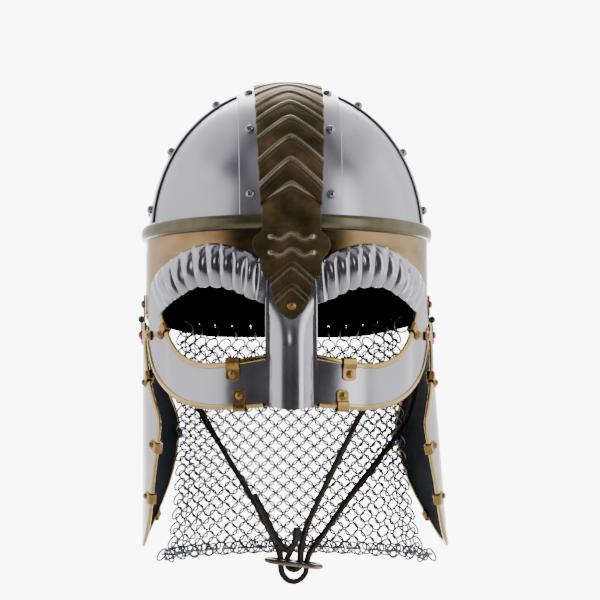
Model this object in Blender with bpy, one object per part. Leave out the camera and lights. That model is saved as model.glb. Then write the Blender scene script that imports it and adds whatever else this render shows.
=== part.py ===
# Spectacle helmet of the Viking age with a fluted eye guard, a chevron crest,
# two hinged cheek plates, a mail neck guard and a leather chin lace.
# X is to the wearer's left, the face looks along -Y, and Z is up.
# The origin is the inside of the crown's top, where the helmet sits on a head.
import math

import bmesh
import bpy
from mathutils import Matrix, Vector

MM = 0.001

# Skull: an ellipsoid over an oval wall, in millimetres
SKULL_HALF_WIDTH = 98.6
SKULL_HALF_LENGTH = 115.0
CROWN_RISE = 112.0
EQUATOR = -CROWN_RISE
DOME_FULLNESS = 2.1  # exponent of the crown's outline, where 2 is an ellipse

# Sheet metal and the clearances between its layers
PLATE = 1.2
LAYER_GAP = 0.7
TOUCH_GAP = 0.3
TUCK = 8.0
RIDGE_INNER = PLATE + LAYER_GAP
RIDGE_OUTER = RIDGE_INNER + PLATE
BROW_INNER = RIDGE_OUTER + LAYER_GAP
BROW_OUTER = BROW_INNER + PLATE
MASK_INNER = BROW_OUTER + LAYER_GAP
MASK_OUTER = MASK_INNER + PLATE
MASK_MID = (MASK_INNER + MASK_OUTER) / 2

# Bands over the crown
RIDGE_HALF_WIDTH = 36.0
SIDE_HALF_WIDTH = 25.0
PANEL_LAP = 9.0
RIVET_RADIUS = 2.9
RIVET_HEIGHT = 2.2
HEAD_SUNK = 0.6
HEAD_SIDES = 6
RIDGE_RIVET_INSET = 7.8
RIDGE_RIVET_TURNS = (13, 40.7, 71, 109, 139.3, 167)
SIDE_RIVET_INSET = 9.0
SIDE_RIVET_TURNS = (11.5, 34.3, 59.5)

# Brow band with its rolled bead; its lower edge is arched over the face
BEAD_HEIGHT = 10.6
BEAD_PROUD = 3.2
FACE_DROP = 125.0
BROW_EDGE = (  # turn from the front in degrees, drop as a share of FACE_DROP
    (0, 0.235),
    (40, 0.24),
    (60, 0.31),
    (72, 0.39),
    (82, 0.43),
    (110, 0.47),
    (150, 0.515),
    (180, 0.511),
)

# Eye guard: spokes from the eye opening out to the rim, round one eye.
# Turns are degrees from the front, drops are shares of FACE_DROP.
BROW_FLUTES = 11
BROW_BULGE = 6.0
FLUTE_DEPTH = 1.5
SPOKES_BROW = (  # eye turn, eye drop, rim turn, rim drop, bulge share
    (9.9, 0.416, 8.4, 0.20, 0.1),
    (16.7, 0.372, 15.0, 0.142, 0.75),
    (23.5, 0.328, 23.0, 0.092, 1.0),
    (31.0, 0.308, 32.0, 0.070, 1.0),
    (39.8, 0.310, 42.0, 0.090, 1.0),
    (46.5, 0.345, 52.0, 0.138, 0.95),
    (53.5, 0.385, 62.0, 0.200, 0.7),
    (60.5, 0.440, 70.0, 0.275, 0.0),
)
SPOKES_TEMPLE = (
    (60.5, 0.440, 70.0, 0.275, 0.0),
    (58.5, 0.490, 73.0, 0.45, 0.0),
    (56.0, 0.545, 73.5, 0.61, 0.0),
)
SPOKES_JAW = (
    (56.0, 0.545, 73.5, 0.61, 0.0),
    (52.0, 0.625, 67.0, 0.76, 0.0),
    (45.5, 0.700, 57.0, 0.875, 0.0),
    (36.0, 0.745, 45.0, 0.96, 0.0),
    (27.0, 0.745, 31.0, 0.995, 0.0),
    (18.5, 0.725, 19.0, 0.99, 0.0),
    (9.9, 0.705, 8.4, 0.982, 0.0),
)
TEMPLE_STEPS = 3
JAW_STEPS = 9
NOSE_STEPS = 6
NOSE_COLUMNS = 8
NOSE_BULGE = 10.0
NOSE_START = 0.30
NOSE_FULL = 0.66
NOSE_DIP = 3.2
NOSE_DIP_START = 0.85
BROW_END_LIFT = 1.6

# Brass channel over the free edges, and the straps that hold it
CHANNEL_WALL = 0.8
CHANNEL_COVER = 3.0
CLIP_PLATE = 0.9
CLIP_RIVET_RADIUS = 2.6
CLIP_RIVET_HEIGHT = 1.7
CLIP_RIVET_INSET = 2.0
EYE_CLIP_REACH = 13.4
JAW_CLIP_REACH = 12.6
EYE_CLIP_SHARE = 0.2  # between two spokes of the eye guard, from the second to the third
JAW_CLIP_SHARE = 0.4  # between two spokes, from the second to the first
CLIP_CLEARANCE = 1.1
EYE_CLIP_WIDTH = 10.4
JAW_CLIP_WIDTH = 8.8
CORNER_CLIP_WIDTH = 6.5
CORNER_CLIP_REACH = 11.4
SIDE_CLIP_WIDTH = 7.0

# Crest: a strip with chevrons over the crown and a lobed tip over the nose
CREST_HALF_WIDTH = 22.5
CREST_PLATE = 1.0
CHEVRON_PITCH = 9.3
CHEVRON_FIRST = 15.9
CHEVRON_COUNT = 17
CHEVRON_SLANT = 9.5
CHEVRON_FOOT = 8.0
CHEVRON_PROUD = 1.5
CHEVRON_FADE = 1.13
CREST_NAPE = 173.0
CREST_WAIST = 0.91
CREST_TOP_HALF_WIDTH = 24.8
CREST_BEAD_FOOT = 1.5
CREST_BEAD_TOP = BEAD_HEIGHT + 0.4
CREST_RAMP_TOP = BEAD_HEIGHT + 3.6
CHEVRON_ROWS = ((-0.35, 0.0), (0.0, 1.0), (0.35, 0.0))  # share of the pitch, share of the relief
CREST_TIP_DROP = 62.0
CREST_TIP = (  # drop as a share of CREST_TIP_DROP, half width as a share, relief as a share
    (0.08, 0.93, 0.0),
    (0.18, 1.18, 0.2),
    (0.275, 1.09, 0.2),
    (0.356, 0.90, 0.0),
    (0.418, 0.925, 0.7),
    (0.506, 0.82, 0.0),
    (0.585, 0.66, 0.7),
    (0.73, 0.565, 0.0),
    (0.865, 0.46, 0.0),
    (0.94, 0.31, 0.0),
    (1.0, 0.12, 0.0),
)

# Cheek plates: sections from the hinge to the tip
CHEEK_TOP = 0.48 * FACE_DROP
CHEEK_LENGTH = 161.5
CHEEK_SECTIONS = (  # drop as a share of CHEEK_LENGTH, front turn, rear turn in degrees
    (0.0, 81.0, 100.0),
    (0.09, 79.0, 106.0),
    (0.185, 75.5, 114.0),
    (0.29, 70.5, 123.0),
    (0.39, 64.0, 129.0),
    (0.46, 61.0, 130.5),
    (0.555, 62.5, 129.5),
    (0.65, 65.0, 127.0),
    (0.74, 67.5, 123.0),
    (0.83, 69.5, 117.0),
    (0.91, 72.0, 109.5),
    (0.965, 76.0, 102.5),
    (1.0, 82.5, 94.5),
)
CHEEK_COLUMNS = 6
CHEEK_FRONT_CLIPS = (0.245, 0.565, 0.79)
CHEEK_REAR_CLIPS = (0.49, 0.87)
CHEEK_FLARE_LEFT = 4.3
CHEEK_FLARE_RIGHT = 0.0

# Hinges
HINGE_HALF_WIDTH = 12.0
HINGE_LEAF = 15.0
HINGE_PLATE = 1.0
TAB_INSET = 0.05
KNUCKLE_RADIUS = 2.6
PIN_RADIUS = 1.1
BORE_CLEARANCE = 0.4
KNUCKLE_CUT = 4.0
HINGE_OUT = MASK_OUTER + TOUCH_GAP + 0.5
HINGE_DROP = CHEEK_TOP - KNUCKLE_RADIUS - TOUCH_GAP - 0.1

# Mail neck guard
MAIL_LEFT_TURN = 117.0
MAIL_RIGHT_TURN = 236.0
MAIL_THICK = 3.0
MAIL_TUCK = 8.0
MAIL_LENGTH = 178.0
MAIL_END_INSET = 1.8
MAIL_FLARE = 8.0
MAIL_WAVE = 1.2

# Chin slide: a flat plate with two slots, hanging in the laces
SLIDE_CENTRE = Vector((4.0, -43.0, -345.5))
SLIDE_HALF_LENGTH = 21.5
SLIDE_HALF_DEPTH = 8.5
SLIDE_PLATE = 2.6
SLIDE_WEB = 2.0
SLIDE_SLOT = 10.5
SLIDE_RIM = 2.2
SLIDE_TILT = 7.0
LACE_DIAMETER = 4.4
LACE_STEP = 15.0

# Lace routes, from the rim inside the helmet through the slide, in millimetres
LONG_LACE = (
    (-97.8, 22.1, -154.0),
    (-96.6, 20.0, -168.0),
    (-86.5, 10.5, -190.0),
    (-62.5, -8.0, -237.0),
    (-45.0, -22.0, -267.0),
    (-27.0, -33.0, -297.0),
    (-13.0, -39.5, -323.0),
    (-6.5, -42.0, -337.0),
    (-5.3, -42.3, -345.0),
    (-4.6, -42.3, -352.0),
    (-1.0, -42.3, -357.0),
    (4.0, -42.3, -358.8),
    (9.0, -42.3, -357.0),
    (12.6, -42.3, -352.0),
    (13.3, -42.3, -345.5),
    (15.8, -41.0, -338.0),
    (25.0, -34.0, -326.0),
    (45.0, -20.0, -299.0),
    (68.5, -5.0, -270.0),
    (89.0, 9.0, -241.0),
    (96.5, 13.0, -212.0),
    (98.6, 12.0, -185.0),
    (99.0, 11.0, -166.0),
    (99.0, 11.0, -154.0),
)
SHORT_LACE = (
    (90.7, -47.1, -142.0),
    (91.1, -47.3, -157.0),
    (92.4, -49.0, -170.0),
    (88.5, -54.0, -190.0),
    (81.0, -56.0, -206.0),
    (68.9, -57.0, -220.0),
    (53.5, -58.0, -236.0),
    (40.0, -56.0, -262.0),
    (26.5, -52.5, -290.0),
    (14.5, -48.5, -316.0),
    (9.6, -45.5, -333.0),
    (8.8, -44.0, -342.5),
    (8.7, -44.0, -346.5),
    (7.2, -44.0, -348.9),
    (4.0, -44.0, -349.9),
    (0.8, -44.0, -348.9),
    (-0.7, -44.0, -346.5),
    (-0.8, -44.0, -342.5),
    (1.5, -42.0, -338.0),
    (5.0, -40.0, -331.0),
    (9.0, -39.5, -323.0),
)
TAIL_LACE = (
    (-24.2, -37.6, -296.6),
    (-17.4, -42.5, -309.8),
    (-11.7, -46.5, -322.0),
    (-6.7, -49.0, -330.6),
    (-1.3, -50.5, -336.0),
    (3.0, -51.5, -333.5),
    (5.2, -52.0, -327.7),
    (5.9, -52.5, -319.8),
)

STEEL = ("satin_steel", (0.60, 0.59, 0.62), 0.26, 1.0)
BRASS = ("brass", (0.72, 0.50, 0.22), 0.28, 1.0)
BROW_BRASS = ("aged_brass", (0.46, 0.30, 0.13), 0.32, 1.0)
BRONZE = ("aged_bronze", (0.32, 0.22, 0.10), 0.38, 1.0)
MAIL = ("galvanised_mail", (0.55, 0.56, 0.58), 0.4, 1.0)
LEATHER = ("dark_leather", (0.035, 0.022, 0.016), 0.7, 0.0)
PIN_STEEL = ("pin_steel", (0.5, 0.5, 0.52), 0.3, 1.0)


def clear_scene():
    for obj in list(bpy.data.objects):
        bpy.data.objects.remove(obj, do_unlink=True)


def material(spec):
    name, colour, roughness, metallic = spec
    made = bpy.data.materials.get(name)
    if made:
        return made
    made = bpy.data.materials.new(name)
    made.use_nodes = True
    shader = made.node_tree.nodes["Principled BSDF"]
    shader.inputs["Base Color"].default_value = (*colour, 1.0)
    shader.inputs["Roughness"].default_value = roughness
    shader.inputs["Metallic"].default_value = metallic
    made.diffuse_color = (*colour, 1.0)
    return made


def solid(name, points, faces, spec, origin=Vector((0, 0, 0)), hidden=False):
    """One closed mesh object from points in millimetres, with its origin where it turns."""
    bm = bmesh.new()
    verts = [bm.verts.new((Vector(p) - origin) * MM) for p in points]
    for face in faces:
        bm.faces.new([verts[i] for i in face])
    bmesh.ops.triangulate(bm, faces=bm.faces)
    bmesh.ops.recalc_face_normals(bm, faces=bm.faces)
    if bm.calc_volume(signed=True) < 0:
        bmesh.ops.reverse_faces(bm, faces=bm.faces)
    mesh = bpy.data.meshes.new(name)
    bm.to_mesh(mesh)
    bm.free()
    obj = bpy.data.objects.new(name, mesh)
    obj.location = origin * MM
    bpy.context.scene.collection.objects.link(obj)
    mesh.materials.append(material(spec))
    mesh.shade_smooth()
    mesh.set_sharp_from_angle(angle=math.radians(35))
    if hidden:
        obj.hide_render = True
        obj.display_type = "WIRE"
    return obj


def boolean(obj, other, operation):
    other.hide_render = True
    other.display_type = "WIRE"
    modifier = obj.modifiers.new(operation.lower(), "BOOLEAN")
    modifier.operation = operation
    modifier.solver = "EXACT"
    modifier.object = other


def smooth(keys, share):
    """The rows of a table read at a share of its length, along a smooth curve through them."""
    spans = len(keys) - 1
    at = min(share * spans, spans - 1e-9)
    i = int(at)
    f = at - i
    before = keys[max(i - 1, 0)]
    after = keys[min(i + 2, spans)]
    row = []
    for p, a, b, q in zip(before, keys[i], keys[i + 1], after):
        row.append(
            a
            + 0.5 * f * (b - p)
            + f * f * (p - 2.5 * a + 2 * b - 0.5 * q)
            + 0.5 * f * f * f * (3 * (a - b) + q - p)
        )
    return row


def table_at(table, x):
    """The second column of a table at x, which is in its first column."""
    for (x0, y0), (x1, y1) in zip(table, table[1:]):
        if x <= x1:
            f = (x - x0) / (x1 - x0)
            f = f * f * (3 - 2 * f)
            return y0 + f * (y1 - y0)
    return table[-1][1]


def wall(turn, drop, out):
    """A point of the oval wall: degrees from the front, millimetres below the equator, offset."""
    t = math.radians(turn)
    return Vector(
        (
            (SKULL_HALF_WIDTH + out) * math.sin(t),
            -(SKULL_HALF_LENGTH + out) * math.cos(t),
            EQUATOR - drop,
        )
    )


def wall_normal(turn):
    t = math.radians(turn)
    return Vector(
        (math.sin(t) / SKULL_HALF_WIDTH, -math.cos(t) / SKULL_HALF_LENGTH, 0)
    ).normalized()


def swell(p):
    """Moves a point of the ellipsoid out to the fuller outline of the crown."""
    v = (p.z - EQUATOR) / CROWN_RISE
    if v <= 0:
        return p
    u = math.hypot(p.x / SKULL_HALF_WIDTH, p.y / SKULL_HALF_LENGTH)
    n = DOME_FULLNESS
    k = math.hypot(u, v) / (u**n + v**n) ** (1 / n)
    return Vector((p.x * k, p.y * k, EQUATOR + (p.z - EQUATOR) * k))


def over(side, turn, out):
    """A point of the dome at a sideways distance, turned from the front over the top to the back.
    Turns below 0 or above 180 go down the wall, a millimetre for a degree."""
    tilt = math.asin(side / (SKULL_HALF_WIDTH + out))
    t = math.radians(min(max(turn, 0), 180))
    below = max(-turn, turn - 180, 0)
    p = Vector(
        (
            (SKULL_HALF_WIDTH + out) * math.sin(tilt),
            -(SKULL_HALF_LENGTH + out) * math.cos(tilt) * math.cos(t),
            EQUATOR + (CROWN_RISE + out) * math.cos(tilt) * math.sin(t) - below,
        )
    )
    return swell(p)


def over_normal(side, turn, out):
    p = over(side, turn, out) - Vector((0, 0, EQUATOR))
    return Vector(
        (
            p.x / SKULL_HALF_WIDTH**2,
            p.y / SKULL_HALF_LENGTH**2,
            p.z / CROWN_RISE**2,
        )
    ).normalized()


def across(sign, along, climb, out):
    """A point of the dome at a distance along Y, climbing in degrees from the ear to the top."""
    tilt = math.asin(along / (SKULL_HALF_LENGTH + out))
    t = math.radians(max(climb, 0))
    p = Vector(
        (
            sign * (SKULL_HALF_WIDTH + out) * math.cos(tilt) * math.cos(t),
            (SKULL_HALF_LENGTH + out) * math.sin(tilt),
            EQUATOR + (CROWN_RISE + out) * math.cos(tilt) * math.sin(t) - max(-climb, 0),
        )
    )
    return swell(p)


def shell(name, place, grids, thick, spec, origin=Vector((0, 0, 0)), turned=None):
    """A sheet: grids of (a, b, inner offset) rows, placed twice and closed along the free edges."""
    keys = {}
    cells = []
    for rows in grids:
        index = []
        for row in rows:
            line = []
            for a, b, d in row:
                key = (round(a, 4), round(b, 4))
                line.append(keys.setdefault(key, (len(keys), a, b, d))[0])
            index.append(line)
        for low, high in zip(index, index[1:]):
            for i in range(len(low) - 1):
                cell = []
                for k in (low[i], low[i + 1], high[i + 1], high[i]):
                    if k not in cell:
                        cell.append(k)
                if len(cell) > 2:
                    cells.append(cell)
    rows = sorted(keys.values())
    inner = [place(a, b, d) for _, a, b, d in rows]
    outer = []
    for _, a, b, d in rows:
        gauge = thick(a, b) if callable(thick) else thick
        outer.append(place(a, b, d + gauge))
    count = len(rows)
    faces = [[k + count for k in cell] for cell in cells] + [cell[::-1] for cell in cells]
    edges = {}
    for cell in cells:
        for a, b in zip(cell, cell[1:] + cell[:1]):
            edges.setdefault((min(a, b), max(a, b)), []).append((a, b))
    for used in edges.values():
        if len(used) == 1:
            a, b = used[0]
            faces.append((a, b, b + count, a + count))
    points = inner + outer
    if turned:
        points = [turned @ p for p in points]
    return solid(name, points, faces, spec, origin)


def swept(name, frames, profile, spec, origin=Vector((0, 0, 0)), turned=None):
    """A profile of (across, outwards) pairs carried along frames of (point, across, outwards)."""
    points = []
    for centre, across_dir, outwards in frames:
        points += [centre + across_dir * u + outwards * w for u, w in profile]
    n = len(profile)
    faces = [tuple(range(n)), tuple(range(len(points) - n, len(points)))[::-1]]
    for i in range(len(frames) - 1):
        for j in range(n):
            k = (j + 1) % n
            faces.append((i * n + j, i * n + k, (i + 1) * n + k, (i + 1) * n + j))
    if turned:
        points = [turned @ p for p in points]
    return solid(name, points, faces, spec, origin)


def dome_heads(name, seats, radius, height, sides, spec, origin=Vector((0, 0, 0)), turned=None):
    """Low round rivet heads on their seats, each a (point, normal), sunk a little into the plate."""
    points = []
    faces = []
    for seat, normal in seats:
        base = len(points)
        turn = normal.to_track_quat("Z", "Y")
        for share, level in ((1.0, -HEAD_SUNK), (0.8, height * 0.6)):
            for i in range(sides):
                a = 2 * math.pi * i / sides
                points.append(
                    seat + turn @ Vector((radius * share * math.cos(a), radius * share * math.sin(a), level))
                )
        points.append(seat + turn @ Vector((0, 0, height)))
        for i in range(sides):
            j = (i + 1) % sides
            faces.append((base + i, base + j, base + sides + j, base + sides + i))
            faces.append((base + sides + i, base + sides + j, base + 2 * sides))
        faces.append(tuple(base + i for i in range(sides))[::-1])
    if turned:
        points = [turned @ p for p in points]
    return solid(name, points, faces, spec, origin, hidden=True)


def block(name, low, high, spec, hidden=True, origin=Vector((0, 0, 0)), turned=None):
    x0, y0, z0 = low
    x1, y1, z1 = high
    points = [Vector(p) for p in (
        (x0, y0, z0), (x1, y0, z0), (x1, y1, z0), (x0, y1, z0),
        (x0, y0, z1), (x1, y0, z1), (x1, y1, z1), (x0, y1, z1),
    )]
    faces = [(0, 3, 2, 1), (4, 5, 6, 7), (0, 1, 5, 4), (1, 2, 6, 5), (2, 3, 7, 6), (3, 0, 4, 7)]
    if turned:
        points = [turned @ p for p in points]
    return solid(name, points, faces, spec, origin, hidden)


def rod(name, x, z, y0, y1, radius, sides, spec, hidden=True, origin=Vector((0, 0, 0)), turned=None):
    """A round bar along Y."""
    points = []
    for y in (y0, y1):
        for i in range(sides):
            a = 2 * math.pi * (i + 0.5) / sides
            points.append(Vector((x + radius * math.cos(a), y, z + radius * math.sin(a))))
    faces = [tuple(range(sides)), tuple(range(sides, 2 * sides))[::-1]]
    for i in range(sides):
        j = (i + 1) % sides
        faces.append((i, j, sides + j, sides + i))
    if turned:
        points = [turned @ p for p in points]
    return solid(name, points, faces, spec, origin, hidden)


def make_crown_panels():
    """Four steel panels that fill the crown, with their edges under the bands."""
    lap_x = RIDGE_HALF_WIDTH - PANEL_LAP
    lap_y = SIDE_HALF_WIDTH - PANEL_LAP
    top = math.hypot(lap_x / SKULL_HALF_WIDTH, lap_y / SKULL_HALF_LENGTH) * 1.05
    highest = math.degrees(math.acos(top))
    for end, sy in (("front", 1), ("rear", -1)):
        for hand, sx in (("left", 1), ("right", -1)):

            def place(share, climb, out):
                lift = math.cos(math.radians(max(climb, 0)))
                first = math.asin(lap_x / (SKULL_HALF_WIDTH * lift))
                last = math.acos(lap_y / (SKULL_HALF_LENGTH * lift))
                t = first + (last - first) * share
                rise = (CROWN_RISE + out) * math.sin(math.radians(max(climb, 0)))
                x = sx * (SKULL_HALF_WIDTH + out) * lift * math.sin(t)
                y = -sy * (SKULL_HALF_LENGTH + out) * lift * math.cos(t)
                return swell(Vector((x, y, EQUATOR + rise - max(-climb, 0))))

            climbs = [-TUCK] + [highest * i / 5 for i in range(6)]
            rows = [[(i / 5, climb, 0.0) for i in range(6)] for climb in climbs]
            shell(f"crown_panel_{end}_{hand}", place, [rows], PLATE, STEEL)


def make_ridge_band():
    """The wide steel band from brow to nape over the top, with twelve rivets."""
    turns = [-TUCK] + [180 * i / 24 for i in range(25)] + [180 + TUCK]
    columns = [RIDGE_HALF_WIDTH * (i / 3 - 1) for i in range(7)]
    rows = [[(side, turn, RIDGE_INNER) for side in columns] for turn in turns]
    band = shell("ridge_band", over, [rows], PLATE, STEEL)
    inset = RIDGE_HALF_WIDTH - RIDGE_RIVET_INSET
    seats = []
    for turn in RIDGE_RIVET_TURNS:
        for side in (-inset, inset):
            seats.append((over(side, turn, RIDGE_OUTER), over_normal(side, turn, RIDGE_OUTER)))
    heads = dome_heads("ridge_heads", seats, RIVET_RADIUS, RIVET_HEIGHT, HEAD_SIDES, STEEL)
    boolean(band, heads, "UNION")


def make_side_bands():
    """A steel band from each ear up to the ridge band, with six rivets."""
    edge = RIDGE_HALF_WIDTH + TOUCH_GAP + 0.1
    for hand, sign in (("left", 1), ("right", -1)):

        def place(along, share, out):
            if share < 0:
                return across(sign, along, share, out)
            tilt = math.asin(along / (SKULL_HALF_LENGTH + out))
            top = math.acos(edge / ((SKULL_HALF_WIDTH + out) * math.cos(tilt)))
            return across(sign, along, math.degrees(top) * share, out)

        columns = [SIDE_HALF_WIDTH * (i / 2 - 1) for i in range(5)]
        shares = [-TUCK] + [i / 10 for i in range(11)]
        rows = [[(along, share, RIDGE_INNER) for along in columns] for share in shares]
        band = shell(f"side_band_{hand}", place, [rows], PLATE, STEEL)
        seats = []
        for climb in SIDE_RIVET_TURNS:
            for along in (SIDE_RIVET_INSET - SIDE_HALF_WIDTH, SIDE_HALF_WIDTH - SIDE_RIVET_INSET):
                seat = across(sign, along, climb, RIDGE_OUTER)
                p = seat - Vector((0, 0, EQUATOR))
                normal = Vector(
                    (p.x / SKULL_HALF_WIDTH**2, p.y / SKULL_HALF_LENGTH**2, p.z / CROWN_RISE**2)
                ).normalized()
                seats.append((seat, normal))
        heads = dome_heads(f"side_heads_{hand}", seats, RIVET_RADIUS, RIVET_HEIGHT, HEAD_SIDES, STEEL)
        boolean(band, heads, "UNION")


def brow_edge(turn):
    """How far below the equator the brow band ends, in millimetres."""
    return FACE_DROP * table_at(BROW_EDGE, abs((turn + 180) % 360 - 180))


def make_brow_band():
    """The brass band round the brow, one piece with the rolled bead at its top."""
    steps = 44
    half = BEAD_HEIGHT / 2
    bead = BROW_OUTER + BEAD_PROUD
    points = []
    for i in range(steps):
        turn = 360 * i / steps
        low = brow_edge(turn)
        for out, drop in (
            (BROW_OUTER, low),
            (BROW_OUTER, 0.4),
            (BROW_OUTER + BEAD_PROUD * 0.72, half * -0.3),
            (bead, -half),
            (BROW_OUTER + BEAD_PROUD * 0.72, half * -1.7),
            (BROW_OUTER, -BEAD_HEIGHT),
            (BROW_INNER, -BEAD_HEIGHT),
            (BROW_INNER, low),
        ):
            points.append(wall(turn, drop, out))
    n = 8
    faces = []
    for i in range(steps):
        k = (i + 1) % steps
        for j in range(n):
            m = (j + 1) % n
            faces.append((i * n + j, i * n + m, k * n + m, k * n + j))
    solid("brow_band", points, faces, BROW_BRASS)


def nose_lift(turn, share):
    """How far the nose ridge stands out, from the turn and the share of FACE_DROP."""
    f = min(max((share - NOSE_START) / (NOSE_FULL - NOSE_START), 0), 1)
    edge = SPOKES_BROW[0][2]
    if abs(turn) >= edge:
        return 0.0
    return NOSE_BULGE * f * (3 - 2 * f) * f * math.cos(math.pi * turn / (2 * edge)) ** 0.8


def nose_drop(turn, share):
    """A drop on the nose ridge, whose lower end runs a little below the guard's rim."""
    edge = SPOKES_BROW[0][2]
    low = SPOKES_JAW[-1][3]
    f = min(max((share - NOSE_DIP_START) / (low - NOSE_DIP_START), 0), 1)
    return FACE_DROP * share + NOSE_DIP * f * max(math.cos(math.pi * turn / (2 * edge)), 0)


def spokes():
    """All spokes round the eye in order, and where each of its stretches begins."""
    stretches = ((SPOKES_BROW, 2 * BROW_FLUTES), (SPOKES_TEMPLE, TEMPLE_STEPS), (SPOKES_JAW, JAW_STEPS))
    rows = []
    for keys, count in stretches:
        for i in range(count):
            rows.append(smooth(keys, i / count))
    rows.append(list(SPOKES_JAW[-1]))
    first = SPOKES_BROW[0]
    last = SPOKES_JAW[-1]
    for i in range(1, NOSE_STEPS):
        f = i / NOSE_STEPS
        rows.append([a + (b - a) * f for a, b in zip(last[:4], first[:4])] + [first[4] * f])
    rows.append(list(first))
    return rows


def make_eye_guard():
    """The steel guard of two fluted brows, two eye openings, cheeks and a nose ridge."""
    rows = spokes()
    shares = (0.0, 0.22, 0.5, 0.78, 1.0)
    grids = []
    for sign in (1, -1):
        grid = []
        for i, (eye_turn, eye_drop, rim_turn, rim_drop, bulge) in enumerate(rows):
            flute = -FLUTE_DEPTH if i % 2 == 0 and 0 < i < 2 * BROW_FLUTES else 0.0
            line = []
            for v in shares:
                turn = eye_turn + (rim_turn - eye_turn) * v
                drop = eye_drop + (rim_drop - eye_drop) * v
                lift = (BROW_BULGE * bulge + flute * min(1, 2 * bulge)) * math.sin(math.pi * v) ** 0.7
                line.append((sign * turn, FACE_DROP * drop, MASK_INNER + max(lift, 0) * (0 < v < 1)))
            grid.append(line)
        grids.append(grid)
    edge_rows = rows[-NOSE_STEPS - 1 :]
    grid = []
    for row in edge_rows:
        share = row[3]
        line = []
        for i in range(NOSE_COLUMNS + 1):
            turn = row[2] * (2 * i / NOSE_COLUMNS - 1)
            line.append((turn, nose_drop(turn, share), MASK_INNER + nose_lift(turn, share)))
        grid.append(line)
    shell("eye_guard", wall, grids + [grid], PLATE, STEEL)


def edge_frames(path, inwards):
    """Frames for a channel along a path of (turn, drop): across points into the sheet."""
    frames = []
    count = len(path)
    for i, (turn, drop) in enumerate(path):
        here = wall(turn, drop, MASK_MID)
        before = wall(*path[max(i - 1, 0)], MASK_MID)
        after = wall(*path[min(i + 1, count - 1)], MASK_MID)
        back = (here - before).normalized() if i else (after - here).normalized()
        ahead = (after - here).normalized() if i < count - 1 else back
        outwards = wall_normal(turn)
        tangent = (back + ahead).normalized()
        into = outwards.cross(tangent).normalized() * inwards
        stretch = min(1 / max(tangent.dot(ahead), 0.5), 1.4)
        frames.append((here, into * stretch, outwards))
    return frames


def channel_profile():
    """A channel section open towards the sheet, which lies along the first axis from 0."""
    half = PLATE / 2 + TOUCH_GAP
    full = half + CHANNEL_WALL
    return (
        (CHANNEL_COVER, full),
        (-TOUCH_GAP - CHANNEL_WALL, full * 0.7),
        (-TOUCH_GAP - CHANNEL_WALL, -full * 0.7),
        (CHANNEL_COVER, -full),
        (CHANNEL_COVER, -half),
        (-TOUCH_GAP, -half),
        (-TOUCH_GAP, half),
        (CHANNEL_COVER, half),
    )


def clip_profile(reach):
    """A strap section folded over the channel, lying on the sheet beyond it."""
    sheet = PLATE / 2 + TOUCH_GAP
    rim = sheet + CHANNEL_WALL + TOUCH_GAP + 0.1
    end = -TOUCH_GAP - CHANNEL_WALL - CLIP_CLEARANCE
    p = CLIP_PLATE
    step = CHANNEL_COVER + CLIP_CLEARANCE
    return (
        (reach, sheet),
        (reach, sheet + p),
        (step + 1.2, sheet + p),
        (step, rim + p),
        (end - p, rim * 0.8 + p),
        (end - p, -rim * 0.8 - p),
        (step, -rim - p),
        (step, -rim),
        (end, -rim),
        (end, rim),
        (step - 0.4, rim),
        (step + 0.5, sheet),
    )


def make_clip(name, turn, drop, into, width, reach, origin=Vector((0, 0, 0)), turned=None):
    """One strap over the channel with a round rivet head; into is the (turn, drop) direction
    into the sheet, as sizes. The head grows out of the strap's flat, from the second to the
    third point of its profile."""
    centre = wall(turn, drop, MASK_MID)
    outwards = wall_normal(turn)
    level = Vector((0, 0, 1)).cross(outwards).normalized()
    into_dir = (level * into[0] - Vector((0, 0, 1)) * into[1]).normalized()
    along = outwards.cross(into_dir).normalized()
    profile = clip_profile(reach)
    points = []
    for end in (-0.5, 0.5):
        side = centre + along * (width * end)
        points += [side + into_dir * u + outwards * w for u, w in profile]
    n = len(profile)
    faces = []
    for j in range(n // 2 - 1):
        end_face = (-j % n, j + 1, j + 2, -(j + 1) % n)
        faces.append(end_face)
        faces.append(tuple(n + k for k in end_face)[::-1])
    for j in range(n):
        k = (j + 1) % n
        if j != 1:
            faces.append((j, k, n + k, n + j))
    flat_start = profile[2][0]
    inset = max(reach - CLIP_RIVET_INSET, flat_start + 2 * CLIP_RIVET_RADIUS + 0.1) - CLIP_RIVET_RADIUS
    seat = centre + into_dir * inset + outwards * profile[1][1]
    base = len(points)
    for share, height in ((1.0, 0.0), (0.8, CLIP_RIVET_HEIGHT * 0.6)):
        for i in range(8):
            a = math.pi * (i + 0.5) / 4
            spoke = into_dir * math.cos(a) + along * math.sin(a)
            points.append(seat + spoke * (CLIP_RIVET_RADIUS * share) + outwards * height)
    points.append(seat + outwards * CLIP_RIVET_HEIGHT)
    for i in range(8):
        j = (i + 1) % 8
        faces.append((base + i, base + j, base + 8 + j, base + 8 + i))
        faces.append((base + 8 + i, base + 8 + j, base + 16))
    corners = (n + 1, n + 2, 2, 1)
    for q in range(4):
        after = corners[(q + 1) % 4]
        faces.append((corners[q], base + 2 * q + 1, base + 2 * q))
        faces.append((corners[q], after, base + (2 * q + 2) % 8, base + 2 * q + 1))
    if turned:
        points = [turned @ p for p in points]
    solid(name, points, faces, BRASS, origin)


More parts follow.
